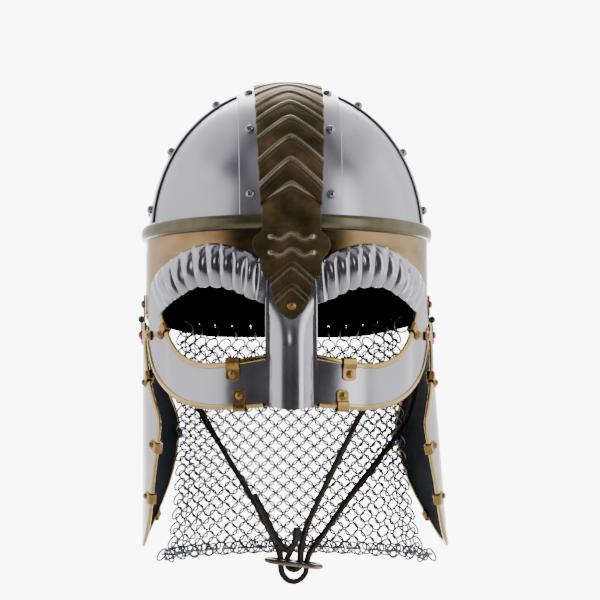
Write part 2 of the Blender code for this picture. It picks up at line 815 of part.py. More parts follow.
def make_guard_trim():
    """Brass channels along the lower eye edges and the jaw, and four straps on each side."""
    rows = spokes()
    corner = 2 * BROW_FLUTES
    jaw = corner + TEMPLE_STEPS
    nose = jaw + JAW_STEPS
    for hand, sign in (("left", 1), ("right", -1)):
        eye = [(sign * r[0], FACE_DROP * r[1]) for r in rows[corner : nose + 1]]
        eye[0] = tuple(a + (b - a) * 0.25 for a, b in zip(eye[0], eye[1]))
        swept(f"eye_edging_{hand}", edge_frames(eye, sign), channel_profile(), BRASS)
        rim = [(sign * r[2], FACE_DROP * r[3]) for r in rows[jaw - 1 : nose + 1]]
        rim[-1] = (sign * (abs(rim[-1][0]) + 1.2), rim[-1][1])
        swept(f"jaw_edging_{hand}", edge_frames(rim, -sign), channel_profile(), BRASS)
        third, second, first = rows[nose - 3 : nose]
        f = EYE_CLIP_SHARE
        turn = sign * (second[0] + (third[0] - second[0]) * f)
        drop = FACE_DROP * (second[1] + (third[1] - second[1]) * f)
        make_clip(f"eye_clip_inner_{hand}", turn, drop, (0, 1), EYE_CLIP_WIDTH, EYE_CLIP_REACH)
        f = JAW_CLIP_SHARE
        turn = sign * (second[2] + (first[2] - second[2]) * f)
        drop = FACE_DROP * (second[3] + (first[3] - second[3]) * f)
        make_clip(f"jaw_clip_inner_{hand}", turn, drop, (0, -1), JAW_CLIP_WIDTH, JAW_CLIP_REACH)
        before = rows[jaw - 1]
        side = rows[jaw]
        make_clip(
            f"eye_clip_outer_{hand}",
            sign * (side[0] + before[0]) / 2,
            FACE_DROP * (side[1] + before[1]) / 2,
            (sign * 0.81, 0.59),
            CORNER_CLIP_WIDTH,
            CORNER_CLIP_REACH,
        )
        make_clip(
            f"jaw_clip_outer_{hand}",
            sign * (side[2] + before[2]) / 2,
            FACE_DROP * (side[3] + before[3]) / 2,
            (-sign, 0.05),
            SIDE_CLIP_WIDTH,
            CORNER_CLIP_REACH,
        )


def crest_under(turn, drop):
    """The offset of what lies under the crest on the wall, at a turn and a drop."""
    lift = max(nose_lift(turn, drop / FACE_DROP), BROW_END_LIFT)
    return MASK_OUTER + LAYER_GAP + lift


def crest_half(turn):
    """The strip's half width over the crown, widest at the top."""
    waist = CREST_HALF_WIDTH * CREST_WAIST
    return waist + (CREST_TOP_HALF_WIDTH - waist) * math.sin(math.radians(turn))


def make_crest():
    """The bronze strip of chevrons over the crown, with its lobed tip down to the nose."""
    bead = BROW_OUTER + BEAD_PROUD + 2 * TOUCH_GAP
    columns = (-1.0, -0.5, 0.0, 0.5, 1.0)
    lines = []
    for drop_share, width, relief in reversed(CREST_TIP):
        drop = CREST_TIP_DROP * drop_share
        lines.append(("wall", drop, CREST_HALF_WIDTH * width, relief))
    waist = CREST_HALF_WIDTH * CREST_WAIST
    lines.append(("bead", CREST_BEAD_FOOT, waist, 0.0))
    lines.append(("bead", -CREST_BEAD_TOP, waist, 0.0))
    lines.append(("ramp", -CREST_RAMP_TOP, waist, 0.0))
    for i in range(CHEVRON_COUNT):
        for share, relief in CHEVRON_ROWS:
            turn = CHEVRON_FIRST + CHEVRON_PITCH * (i + share)
            lines.append(("dome", turn, crest_half(turn), relief))
    lines.append(("nape", CREST_NAPE, crest_half(CREST_NAPE), 0.0))
    grid = []
    reliefs = {}
    for number, (_, _, _, relief) in enumerate(lines):
        row = []
        for u in columns:
            key = (u, float(number))
            reliefs[key] = CREST_PLATE + CHEVRON_PROUD * relief
            row.append((u, float(number), 0.0))
        grid.append(row)

    def place(u, number, out):
        kind, at, half, _ = lines[int(number)]
        side = u * half
        if kind in ("dome", "nape"):
            fade = 0.0
            if kind == "dome":
                fade = min((at - CHEVRON_FOOT) / (CHEVRON_PITCH * CHEVRON_FADE), 1)
            slant = CHEVRON_SLANT * fade * abs(u)
            return over(side, at - slant, RIDGE_OUTER + LAYER_GAP + out)
        turn = math.degrees(math.asin(side / (SKULL_HALF_WIDTH + bead)))
        if kind == "bead":
            return wall(turn, at, bead + out)
        if kind == "ramp":
            return wall(turn, at, (bead + RIDGE_OUTER + LAYER_GAP) / 2 + out)
        return wall(turn, at, crest_under(turn, at) + out)

    shell("crest", place, [grid], lambda u, number: reliefs[(u, number)], BRONZE)
    at = CREST_TIP_DROP * CREST_TIP[-3][0]
    slope = (crest_under(0, at + 1) - crest_under(0, at - 1)) / 2
    seat = wall(0, at, crest_under(0, at) + CREST_PLATE + TOUCH_GAP + HEAD_SUNK + 0.2)
    normal = Vector((0, -1, slope)).normalized()
    head = dome_heads("crest_rivet", [(seat, normal)], RIVET_RADIUS, RIVET_HEIGHT, 8, BRASS)
    head.hide_render = False
    head.display_type = "TEXTURED"


def cheek_row(share):
    for low, high in zip(CHEEK_SECTIONS, CHEEK_SECTIONS[1:]):
        if share <= high[0]:
            f = (share - low[0]) / (high[0] - low[0])
            return [a + (b - a) * f for a, b in zip(low, high)]
    return list(CHEEK_SECTIONS[-1])


def make_cheek(hand, sign, flare):
    """A hinged cheek plate with its channel, five straps and both hinge leaves."""
    x = sign * (SKULL_HALF_WIDTH + HINGE_OUT)
    axis = Vector((x, 0, EQUATOR - HINGE_DROP))
    swing = Matrix.Rotation(math.radians(-sign * flare), 4, "Y")
    turned = Matrix.Translation(axis) @ swing @ Matrix.Translation(-axis)
    grid = []
    for share, front, rear in CHEEK_SECTIONS:
        drop = CHEEK_TOP + CHEEK_LENGTH * share
        row = []
        for i in range(CHEEK_COLUMNS + 1):
            turn = front + (rear - front) * i / CHEEK_COLUMNS
            row.append((sign * turn, drop, MASK_INNER))
        grid.append(row)
    shell(f"cheek_plate_{hand}", wall, [grid], PLATE, STEEL, axis, turned)

    front_edge = [(row[0][0], row[0][1]) for row in grid]
    rear_edge = [(row[-1][0], row[-1][1]) for row in grid][::-1]
    tip = [(grid[-1][CHEEK_COLUMNS // 2][0], grid[-1][CHEEK_COLUMNS // 2][1])]
    frames = edge_frames(front_edge + tip + rear_edge, sign)
    swept(f"cheek_edging_{hand}", frames, channel_profile(), BRASS, axis, turned)

    for edge, shares, into in (("front", CHEEK_FRONT_CLIPS, sign), ("rear", CHEEK_REAR_CLIPS, -sign)):
        for number, share in enumerate(shares, 1):
            _, front, rear = cheek_row(share)
            _, front_next, rear_next = cheek_row(share + 0.02)
            turn = front if edge == "front" else rear
            turn_next = front_next if edge == "front" else rear_next
            drop = CHEEK_TOP + CHEEK_LENGTH * share
            slope = math.radians(turn_next - turn) * SKULL_HALF_LENGTH / (0.02 * CHEEK_LENGTH)
            make_clip(
                f"cheek_clip_{edge}_{number}_{hand}",
                sign * turn,
                drop,
                (into, slope * (-1 if edge == "front" else 1)),
                SIDE_CLIP_WIDTH,
                CORNER_CLIP_REACH,
                axis,
                turned,
            )
    make_hinge(hand, sign, axis, turned)


def make_hinge(hand, sign, axis, turned):
    """Two riveted leaves whose knuckles turn on a pin along Y."""
    z = axis.z
    half = HINGE_HALF_WIDTH
    knuckle_gap = KNUCKLE_CUT + TOUCH_GAP
    low_in = sign * (SKULL_HALF_WIDTH + MASK_OUTER + TOUCH_GAP)
    low_out = low_in + sign * HINGE_PLATE
    leaf_top = z - KNUCKLE_RADIUS - TOUCH_GAP
    x0, x1 = sorted((low_in, low_out))
    low = (x0, -half, leaf_top - HINGE_LEAF)
    lower = block(f"hinge_lower_{hand}", low, (x1, half, leaf_top), BRASS, False, axis, turned)
    for number, end in enumerate((-1, 1)):
        y0, y1 = sorted((end * knuckle_gap, end * (half - TOUCH_GAP)))
        low = (x0 + TAB_INSET, y0 + TAB_INSET, leaf_top - HINGE_PLATE)
        high = (x1 - TAB_INSET, y1 - TAB_INSET, z)
        tab = block(f"lower_tab_{hand}_{number}", low, high, BRASS, True, axis, turned)
        boolean(lower, tab, "UNION")
        name = f"lower_roll_{hand}_{number}"
        roll = rod(name, axis.x, z, y0, y1, KNUCKLE_RADIUS, 10, BRASS, True, axis, turned)
        boolean(lower, roll, "UNION")
    seats = [
        (Vector((low_out, y, leaf_top - HINGE_LEAF * 0.55)), Vector((sign, 0, 0)))
        for y in (-half * 0.6, half * 0.6)
    ]
    name = f"hinge_lower_heads_{hand}"
    heads = dome_heads(name, seats, CLIP_RIVET_RADIUS, CLIP_RIVET_HEIGHT, HEAD_SIDES, BRASS, axis, turned)
    boolean(lower, heads, "UNION")
    bore = rod(
        f"bore_{hand}", axis.x, z, -half - 1, half + 1, PIN_RADIUS + BORE_CLEARANCE, 10, BRASS, True, axis
    )
    boolean(lower, bore, "DIFFERENCE")

    up_in = sign * (SKULL_HALF_WIDTH + BROW_OUTER + TOUCH_GAP)
    up_out = up_in + sign * HINGE_PLATE
    x0, x1 = sorted((up_in, up_out))
    leaf_low = z + KNUCKLE_RADIUS + 2 * TOUCH_GAP
    upper = block(
        f"hinge_upper_{hand}", (x0, -half, leaf_low), (x1, half, leaf_low + HINGE_LEAF), BRASS, False, axis
    )
    low = (x0 + TAB_INSET, TAB_INSET - KNUCKLE_CUT, z)
    high = (x1 - TAB_INSET, KNUCKLE_CUT - TAB_INSET, leaf_low + HINGE_PLATE)
    tab = block(f"upper_tab_{hand}", low, high, BRASS, True, axis)
    boolean(upper, tab, "UNION")
    roll = rod(
        f"upper_roll_{hand}", axis.x, z, -KNUCKLE_CUT, KNUCKLE_CUT, KNUCKLE_RADIUS, 10, BRASS, True, axis
    )
    boolean(upper, roll, "UNION")
    seats = [
        (Vector((up_out, y, leaf_low + HINGE_LEAF * 0.55)), Vector((sign, 0, 0)))
        for y in (-half * 0.6, half * 0.6)
    ]
    heads = dome_heads(
        f"hinge_upper_heads_{hand}", seats, CLIP_RIVET_RADIUS, CLIP_RIVET_HEIGHT, HEAD_SIDES, BRASS, axis
    )
    boolean(upper, heads, "UNION")
    boolean(upper, bore, "DIFFERENCE")
    pin_end = half + 0.8
    rod(f"hinge_pin_{hand}", axis.x, z, -pin_end, pin_end, PIN_RADIUS, 8, PIN_STEEL, False, axis)


def make_aventail():
    """The mail neck guard as one curved sheet, hung from inside the brow band."""
    columns = 14
    levels = (0.0, 0.06, 0.25, 0.45, 0.65, 0.85, 1.0)
    grid = []
    for level in levels:
        row = []
        for i in range(columns + 1):
            turn = MAIL_LEFT_TURN + (MAIL_RIGHT_TURN - MAIL_LEFT_TURN) * i / columns
            top = brow_edge(turn) - MAIL_TUCK
            bottom = brow_edge(180) - MAIL_TUCK + MAIL_LENGTH
            drop = top + (bottom - top) * level
            middle = 1 - abs(2 * i / columns - 1)
            rise = min(middle * 3, 1)
            out = MAIL_END_INSET * (rise * rise * (3 - 2 * rise) - 1)
            towards_left = max(1 - i / 5, 0)
            out += MAIL_FLARE * level * towards_left * towards_left * (3 - 2 * towards_left)
            out += MAIL_WAVE * level * math.sin(1.9 * i) * min(2 * middle, 1)
            row.append((turn, drop, out))
        grid.append(row)
    shell("aventail", wall, [grid], MAIL_THICK, MAIL)


def make_chin_slide():
    """A flat plate with two slots that the laces run through."""
    c = SLIDE_CENTRE
    tilt = Matrix.Translation(c) @ Matrix.Rotation(math.radians(SLIDE_TILT), 4, "Y") @ Matrix.Translation(-c)
    sides = 8
    outline = []
    for i in range(2 * sides + 2):
        right = i <= sides
        a = math.pi * ((i if right else i - sides - 1) / sides - 0.5) + (0 if right else math.pi)
        middle = (SLIDE_HALF_LENGTH - SLIDE_HALF_DEPTH) * (1 if right else -1)
        outline.append((middle + SLIDE_HALF_DEPTH * math.cos(a), SLIDE_HALF_DEPTH * math.sin(a)))
    half = SLIDE_PLATE / 2
    points = [c + Vector((x, y, -half)) for x, y in outline]
    points += [c + Vector((x, y, half)) for x, y in outline]
    n = len(outline)
    faces = [tuple(range(n))[::-1], tuple(range(n, 2 * n))]
    for i in range(n):
        j = (i + 1) % n
        faces.append((i, j, n + j, n + i))
    plate = solid("chin_slide", [tilt @ p for p in points], faces, STEEL)
    depth = SLIDE_HALF_DEPTH - SLIDE_RIM
    for end in (-1, 1):
        x0, x1 = sorted((end * SLIDE_WEB, end * (SLIDE_WEB + SLIDE_SLOT)))
        slot = block(
            f"slide_slot_{end}",
            (c.x + x0, c.y - depth, c.z - 2 * SLIDE_PLATE),
            (c.x + x1, c.y + depth, c.z + 2 * SLIDE_PLATE),
            STEEL,
            True,
            turned=tilt,
        )
        boolean(plate, slot, "DIFFERENCE")


def make_lace(name, route):
    """A leather lace: a round tube along a smooth curve through its chosen points."""
    spans = len(route) - 1
    line = [Vector(route[0])]
    for i, (start, end) in enumerate(zip(route, route[1:])):
        pieces = math.ceil((Vector(end) - Vector(start)).length / LACE_STEP)
        for k in range(1, pieces + 1):
            line.append(Vector(smooth(route, (i + k / pieces) / spans)))
    curve = bpy.data.curves.new(name, "CURVE")
    curve.dimensions = "3D"
    curve.bevel_depth = LACE_DIAMETER / 2 * MM
    curve.bevel_resolution = 2
    curve.use_fill_caps = True
    spline = curve.splines.new("POLY")
    spline.points.add(len(line) - 1)
    for point, p in zip(spline.points, line):
        point.co = (*(p * MM), 1.0)
    curve.materials.append(material(LEATHER))
    obj = bpy.data.objects.new(name, curve)
    bpy.context.scene.collection.objects.link(obj)
    return obj


clear_scene()
make_crown_panels()
make_ridge_band()
make_side_bands()
make_brow_band()
make_eye_guard()
make_guard_trim()
make_crest()
make_cheek("left", 1, CHEEK_FLARE_LEFT)
make_cheek("right", -1, CHEEK_FLARE_RIGHT)
make_aventail()
make_chin_slide()
make_lace("lace_long", LONG_LACE)
make_lace("lace_short", SHORT_LACE)
make_lace("lace_tail", TAIL_LACE)
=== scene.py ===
import bisect
import math

import bmesh
import bpy
from mathutils import Matrix, Vector, noise


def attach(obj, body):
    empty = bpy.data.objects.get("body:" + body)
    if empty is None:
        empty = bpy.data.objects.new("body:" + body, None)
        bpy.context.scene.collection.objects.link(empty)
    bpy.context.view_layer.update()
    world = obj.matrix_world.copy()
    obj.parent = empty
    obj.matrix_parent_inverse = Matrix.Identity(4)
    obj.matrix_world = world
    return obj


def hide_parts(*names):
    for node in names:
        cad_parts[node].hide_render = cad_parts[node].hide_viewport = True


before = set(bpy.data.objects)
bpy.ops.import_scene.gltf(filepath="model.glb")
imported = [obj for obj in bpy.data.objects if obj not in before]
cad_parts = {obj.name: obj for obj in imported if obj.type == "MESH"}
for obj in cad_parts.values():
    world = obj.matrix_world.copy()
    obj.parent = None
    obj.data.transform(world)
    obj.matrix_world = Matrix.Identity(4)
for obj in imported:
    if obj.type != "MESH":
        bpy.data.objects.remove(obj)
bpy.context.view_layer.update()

MM = 0.001
HANDS = (("left", 1), ("right", -1))  # the wearer's left is at +X

# Skull: an ellipsoid over an oval wall, in millimetres
SKULL_HALF_WIDTH = 98.6
SKULL_HALF_LENGTH = 115.0
CROWN_RISE = 112.0
EQUATOR = -CROWN_RISE
DOME_FULLNESS = 2.1  # exponent of the crown's outline, where 2 is an ellipse

# Sheet metal and the clearances between its layers
PLATE = 1.2
LAYER_GAP = 0.7
TOUCH_GAP = 0.3
TUCK = 8.0
RIDGE_INNER = PLATE + LAYER_GAP
RIDGE_OUTER = RIDGE_INNER + PLATE
BROW_INNER = RIDGE_OUTER + LAYER_GAP
BROW_OUTER = BROW_INNER + PLATE
MASK_INNER = BROW_OUTER + LAYER_GAP
MASK_OUTER = MASK_INNER + PLATE
MASK_MID = (MASK_INNER + MASK_OUTER) / 2

# Bands over the crown
RIDGE_HALF_WIDTH = 36.0
SIDE_HALF_WIDTH = 25.0
PANEL_LAP = 9.0
RIDGE_RIVET_INSET = 7.8
RIDGE_RIVET_TURNS = (13, 40.7, 71, 109, 139.3, 167)
SIDE_RIVET_INSET = 9.0
SIDE_RIVET_TURNS = (11.5, 34.3, 59.5)
HEAD_RADIUS = 3.3
RIDGE_HEAD_HEIGHT = 2.9
SIDE_HEAD_HEIGHT = 3.5
DOME_LEVELS = 7  # steps up a rivet head
DOME_SUNK = 0.5

# Brow band with its rolled bead; its lower edge is arched over the face
BEAD_HEIGHT = 10.6
BEAD_PROUD = 3.2
BROW_TOP = 0.3
FACE_DROP = 125.0
BROW_EDGE = (  # turn from the front in degrees, drop as a share of FACE_DROP
    (0, 0.235),
    (40, 0.24),
    (60, 0.31),
    (72, 0.39),
    (82, 0.43),
    (110, 0.47),
    (150, 0.515),
    (180, 0.511),
)

# Eye guard: spokes from the eye opening out to the rim, round one eye.
# Turns are degrees from the front, drops are shares of FACE_DROP.
BROW_FLUTES = 11
BROW_BULGE = 6.0
FLUTE_DEPTH = 1.5
FLUTE_SCALLOP = 0.011  # of the eye's edge, a share of FACE_DROP
SPOKES_BROW = (  # eye turn, eye drop, rim turn, rim drop, bulge share
    (9.9, 0.416, 8.4, 0.20, 0.1),
    (16.7, 0.372, 15.0, 0.142, 0.75),
    (23.5, 0.328, 23.0, 0.092, 1.0),
    (31.0, 0.308, 32.0, 0.070, 1.0),
    (39.8, 0.310, 42.0, 0.090, 1.0),
    (46.5, 0.345, 52.0, 0.138, 0.95),
    (53.5, 0.385, 62.0, 0.200, 0.7),
    (60.5, 0.440, 70.0, 0.275, 0.0),
)
SPOKES_TEMPLE = (
    (60.5, 0.440, 70.0, 0.275, 0.0),
    (58.5, 0.490, 73.0, 0.45, 0.0),
    (56.0, 0.545, 73.5, 0.61, 0.0),
)
SPOKES_JAW = (
    (56.0, 0.545, 73.5, 0.61, 0.0),
    (52.0, 0.625, 67.0, 0.76, 0.0),
    (45.5, 0.700, 57.0, 0.875, 0.0),
    (36.0, 0.745, 45.0, 0.96, 0.0),
    (27.0, 0.745, 31.0, 0.995, 0.0),
    (18.5, 0.725, 19.0, 0.99, 0.0),
    (9.9, 0.705, 8.4, 0.982, 0.0),
)
TEMPLE_STEPS = 3
JAW_STEPS = 9
NOSE_BULGE = 10.0
NOSE_START = 0.30
NOSE_FULL = 0.66
NOSE_DIP = 3.2
NOSE_DIP_START = 0.85
BROW_END_LIFT = 1.6

# Brass channel over the free edges, and the straps that hold it
CHANNEL_WALL = 0.8
CHANNEL_COVER = 3.0
CLIP_PLATE = 0.9
CLIP_RIVET_RADIUS = 2.6
CLIP_RIVET_HEIGHT = 1.7
CLIP_RIVET_INSET = 2.0
CLIP_RIVET_HEADS = ((0.0, 0.35, 1.0), (0.7, -0.35, 1.6))  # rise, added radius, height
EYE_CLIP_REACH = 13.4
JAW_CLIP_REACH = 12.6
EYE_CLIP_SHARE = 0.2  # between two spokes of the eye guard, from the second to the third
JAW_CLIP_SHARE = 0.4  # between two spokes, from the second to the first
CLIP_CLEARANCE = 1.1
CLIP_BEND = 0.9
EYE_CLIP_WIDTH = 10.4
JAW_CLIP_WIDTH = 8.8
CORNER_CLIP_WIDTH = 6.5
CORNER_CLIP_REACH = 11.4
SIDE_CLIP_WIDTH = 7.0

# Crest: a strip with chevrons over the crown and a lobed tip over the nose
CREST_HALF_WIDTH = 22.5
CREST_PLATE = 1.0
CHEVRON_PITCH = 9.3
CHEVRON_FIRST = 15.9
CHEVRON_COUNT = 17
CHEVRON_SLANT = 9.5
CHEVRON_FOOT = 8.0
CHEVRON_PROUD = 1.5
CHEVRON_FADE = 1.13
CREST_NAPE = 173.0
CREST_WAIST = 0.91
CREST_TOP_HALF_WIDTH = 24.8
CREST_BEAD_TOP = BEAD_HEIGHT + 0.4
CREST_RAMP_TOP = BEAD_HEIGHT + 3.6
CREST_RIVET_DROP = 53.63
CREST_RIVET_HEADS = ((0.0, 3.2, 1.1), (0.8, 2.2, 1.3))  # rise, radius, height

# Cheek plates: sections from the hinge to the tip
CHEEK_TOP = 0.48 * FACE_DROP
CHEEK_LENGTH = 161.5
CHEEK_SECTIONS = (  # drop as a share of CHEEK_LENGTH, front turn, rear turn in degrees
    (0.0, 81.0, 100.0),
    (0.09, 79.0, 106.0),
    (0.185, 75.5, 114.0),
    (0.29, 70.5, 123.0),
    (0.39, 64.0, 129.0),
    (0.46, 61.0, 130.5),
    (0.555, 62.5, 129.5),
    (0.65, 65.0, 127.0),
    (0.74, 67.5, 123.0),
    (0.83, 69.5, 117.0),
    (0.91, 72.0, 109.5),
    (0.965, 76.0, 102.5),
    (1.0, 82.5, 94.5),
)
CHEEK_FRONT_CLIPS = (0.245, 0.565, 0.79)
CHEEK_REAR_CLIPS = (0.49, 0.87)
CHEEK_FLARE_LEFT = 4.3
CHEEK_FLARE_RIGHT = 0.0

# Hinges
HINGE_HALF_WIDTH = 12.0
HINGE_LEAF = 15.0
HINGE_PLATE = 1.0
HINGE_CORNER = 3.0
KNUCKLE_RADIUS = 2.6
PIN_RADIUS = 1.1
KNUCKLE_CUT = 4.0
HINGE_OUT = MASK_OUTER + TOUCH_GAP + 0.5
HINGE_DROP = CHEEK_TOP - KNUCKLE_RADIUS - TOUCH_GAP - 0.1

# Mail neck guard
MAIL_LEFT_TURN = 117.0
MAIL_RIGHT_TURN = 236.0
MAIL_THICK = 3.0
MAIL_TUCK = 8.0
MAIL_LENGTH = 178.0
MAIL_END_INSET = 1.8
MAIL_FLARE = 8.0
MAIL_WAVE = 1.2

# Chin slide: a flat plate with two slots, hanging in the laces
SLIDE_CENTRE = Vector((4.0, -43.0, -345.5))
SLIDE_HALF_LENGTH = 21.5
SLIDE_HALF_DEPTH = 8.5
SLIDE_WEB = 2.0
SLIDE_TILT = 7.0
LACE_DIAMETER = 4.4

# Lace routes, from the rim inside the helmet through the slide, in millimetres
LONG_LACE = (
    (-97.8, 22.1, -154.0),
    (-96.6, 20.0, -168.0),
    (-86.5, 10.5, -190.0),
    (-62.5, -8.0, -237.0),
    (-45.0, -22.0, -267.0),
    (-27.0, -33.0, -297.0),
    (-13.0, -39.5, -323.0),
    (-6.5, -42.0, -337.0),
    (-5.3, -42.3, -345.0),
    (-4.6, -42.3, -352.0),
    (-1.0, -42.3, -357.0),
    (4.0, -42.3, -358.8),
    (9.0, -42.3, -357.0),
    (12.6, -42.3, -352.0),
    (13.3, -42.3, -345.5),
    (15.8, -41.0, -338.0),
    (25.0, -34.0, -326.0),
    (45.0, -20.0, -299.0),
    (68.5, -5.0, -270.0),
    (89.0, 9.0, -241.0),
    (96.5, 13.0, -212.0),
    (98.6, 12.0, -185.0),
    (99.0, 11.0, -166.0),
    (99.0, 11.0, -154.0),
)
SHORT_LACE = (
    (90.7, -47.1, -142.0),
    (91.1, -47.3, -157.0),
    (92.4, -49.0, -170.0),
    (88.5, -54.0, -190.0),
    (81.0, -56.0, -206.0),
    (68.9, -57.0, -220.0),
    (53.5, -58.0, -236.0),
    (40.0, -56.0, -262.0),
    (26.5, -52.5, -290.0),
    (14.5, -48.5, -316.0),
    (9.6, -45.5, -333.0),
    (8.8, -44.0, -342.5),
    (8.7, -44.0, -346.5),
    (7.2, -44.0, -348.9),
    (4.0, -44.0, -349.9),
    (0.8, -44.0, -348.9),
    (-0.7, -44.0, -346.5),
    (-0.8, -44.0, -342.5),
    (1.5, -42.0, -338.0),
    (5.0, -40.0, -331.0),
    (9.0, -39.5, -323.0),
)
TAIL_LACE = (
    (-24.2, -37.6, -296.6),
    (-17.4, -42.5, -309.8),
    (-11.7, -46.5, -322.0),
    (-6.7, -49.0, -330.6),
    (-1.3, -50.5, -336.0),
    (3.0, -51.5, -333.5),
    (5.2, -52.0, -327.7),
    (5.9, -52.5, -319.8),
)

# Finer measures of the visible surface
TIP_OUTLINE = (  # drop, half width
    (0.0, 19.8),
    (2.1, 20.6),
    (4.0, 23.6),
    (6.5, 25.9),
    (10.0, 26.9),
    (13.5, 26.6),
    (17.0, 25.0),
    (20.0, 22.6),
    (22.7, 20.3),
    (25.5, 20.6),
    (28.5, 20.6),
    (31.5, 19.6),
    (34.0, 17.6),
    (36.4, 14.9),
    (41.6, 14.2),
    (48.0, 12.4),
    (54.1, 10.5),
    (57.5, 8.2),
    (60.0, 5.6),
    (61.6, 3.0),
    (62.4, 0.9),
)
TIP_CHEVRONS = ((25.4, 0.93, 2.3), (40.4, 1.0, 2.1))  # drop of the point, slope, half width
WAVE_TOPS = (2.9, 14.0)
WAVE_TURN = 8.6
WAVE_END = 14.0
WAVE_DIP = 4.5
WAVE_LIFT = 1.7
WAVE_HALF = 2.4
WAVE_PROUD = 1.5
WAVE_BALL = 2.3
WAVE_BALL_PROUD = 2.0
RIM_PITCH = 15.3
RIM_MARGIN = 4.0
RIM_SHIFT = 5.6
RIM_HOLE_RISE = 8.3
RIM_HOLE_RADIUS = 1.05
RIM_RING_RADIUS = 5.7
RING_RADIUS = 5.28
RING_WIRE = 0.72
RING_PITCH = 12.0
RING_FIRST = 6.2
RING_TILT = 29.0
MAIL_ROWS = 30
MAIL_ROLL_ROWS = 4
ROLL_TURN = 1.15  # radians from one rolled row to the next
ROLL_DROP = 4.2
ROLL_OUT = 3.0
SLIDE_BAR = 3.0
SLIDE_LEAN = 7.0
MAIL_ARC_STEPS = 800
MAIL_SPREAD = 13.5
MAIL_SPREAD_TURN = 34.0
MAIL_ROLL_SPREAD = 2.2
MAIL_HEM_RISE = 12.5
MAIL_HEM_SAG = 6.8

# Fine grain of the metals: its scale, and its depth in metres
METAL_GRAIN = 900.0
GRAIN_DEPTH = 0.0002

# View, floor and light, in metres
LENS = 163.3
CAMERA_AT = (-0.0554, -2.0, -0.279)
CAMERA_YAW = 1.87
CAMERA_PITCH = 3.575
FLOOR_Z = -0.62
WALL_FOOT = 1.2
WALL_CURVE = 1.3
WALL_TOP = 3.2
FLOOR_NEAR = -3.0
FLOOR_HALF = 4.5
WALL_GLOW = 8.0
WALL_HALF = 0.8
SIDE_GLOW = 0.9
WORLD_COLOUR = (0.035, 0.035, 0.038)
LIGHTS = (
    ("left_box", (-1.9, -0.1, 0.15), (0, 0, -0.15), 2.3, 16.0, (1, 0.98, 0.99), 2.0),
    ("right_box", (1.53, -1.0, 0.1), (0, 0, -0.15), 0.65, 10.0, (0.98, 0.98, 1.0), 2.0),
    ("right_side", (1.85, 0.25, 0.1), (0, 0, -0.15), 1.7, 12.0, (1, 0.98, 1), 2.0),
    ("front_top", (0.0, -1.25, 1.6), (0, 0, -0.1), 2.6, 3.6, (1, 0.99, 1), 1.3),
    ("over_top", (0.0, 0.7, 1.8), (0, 0, -0.1), 2.6, 7.0, (1, 1, 1), 1.6),
    ("left_top", (-1.45, 0.4, 1.4), (0, 0, -0.1), 1.4, 3.2, (1, 0.98, 1), 1.0),
    ("front_spot", (-0.4, -2.1, 0.5), (0, 0, -0.1), 0.3, 1.4, (1, 1, 1), 0.3),
    ("right_top", (1.45, 0.4, 1.4), (0, 0, -0.1), 1.4, 3.2, (1, 0.98, 1), 1.0),
)


def smooth(keys, share):
    """The rows of a table read at a share of its length, along a smooth curve through them."""
    spans = len(keys) - 1
    at = min(share * spans, spans - 1e-9)
    i = int(at)
    f = at - i
    row = []
    for p, a, b, q in zip(keys[max(i - 1, 0)], keys[i], keys[i + 1], keys[min(i + 2, spans)]):
        bend = f * f * (p - 2.5 * a + 2 * b - 0.5 * q) + 0.5 * f * f * f * (3 * (a - b) + q - p)
        row.append(a + 0.5 * f * (b - p) + bend)
    return row


def row_at(table, x):
    """The row of a table at x, which is in its first column, with straight lines between rows."""
    for low, high in zip(table, table[1:]):
        if x <= high[0]:
            f = (x - low[0]) / (high[0] - low[0])
            return [a + (b - a) * f for a, b in zip(low, high)]
    return list(table[-1])


def table_at(table, x):
    """The second column of a table at x, which is in its first column, eased between rows."""
    for (x0, y0), (x1, y1) in zip(table, table[1:]):
        if x <= x1:
            f = (x - x0) / (x1 - x0)
            f = f * f * (3 - 2 * f)
            return y0 + f * (y1 - y0)
    return table[-1][1]


def wall(turn, drop, out):
    """A point of the oval wall: degrees from the front, millimetres below the equator, offset."""
    t = math.radians(turn)
    x = (SKULL_HALF_WIDTH + out) * math.sin(t)
    return Vector((x, -(SKULL_HALF_LENGTH + out) * math.cos(t), EQUATOR - drop))


def wall_normal(turn):
    t = math.radians(turn)
    return Vector((math.sin(t) / SKULL_HALF_WIDTH, -math.cos(t) / SKULL_HALF_LENGTH, 0)).normalized()


def swell(p):
    """Moves a point of the ellipsoid out to the fuller outline of the crown."""
    v = (p.z - EQUATOR) / CROWN_RISE
    if v <= 0:
        return p
    u = math.hypot(p.x / SKULL_HALF_WIDTH, p.y / SKULL_HALF_LENGTH)
    n = DOME_FULLNESS
    k = math.hypot(u, v) / (u**n + v**n) ** (1 / n)
    return Vector((p.x * k, p.y * k, EQUATOR + (p.z - EQUATOR) * k))


def over(side, turn, out):
    """A point of the dome at a sideways distance, turned from the front over the top to the back.
    Turns below 0 or above 180 go down the wall, a millimetre for a degree."""
    tilt = math.asin(side / (SKULL_HALF_WIDTH + out))
    t = math.radians(min(max(turn, 0), 180))
    x = (SKULL_HALF_WIDTH + out) * math.sin(tilt)
    y = -(SKULL_HALF_LENGTH + out) * math.cos(tilt) * math.cos(t)
    rise = (CROWN_RISE + out) * math.cos(tilt) * math.sin(t)
    return swell(Vector((x, y, EQUATOR + rise - max(-turn, turn - 180, 0))))


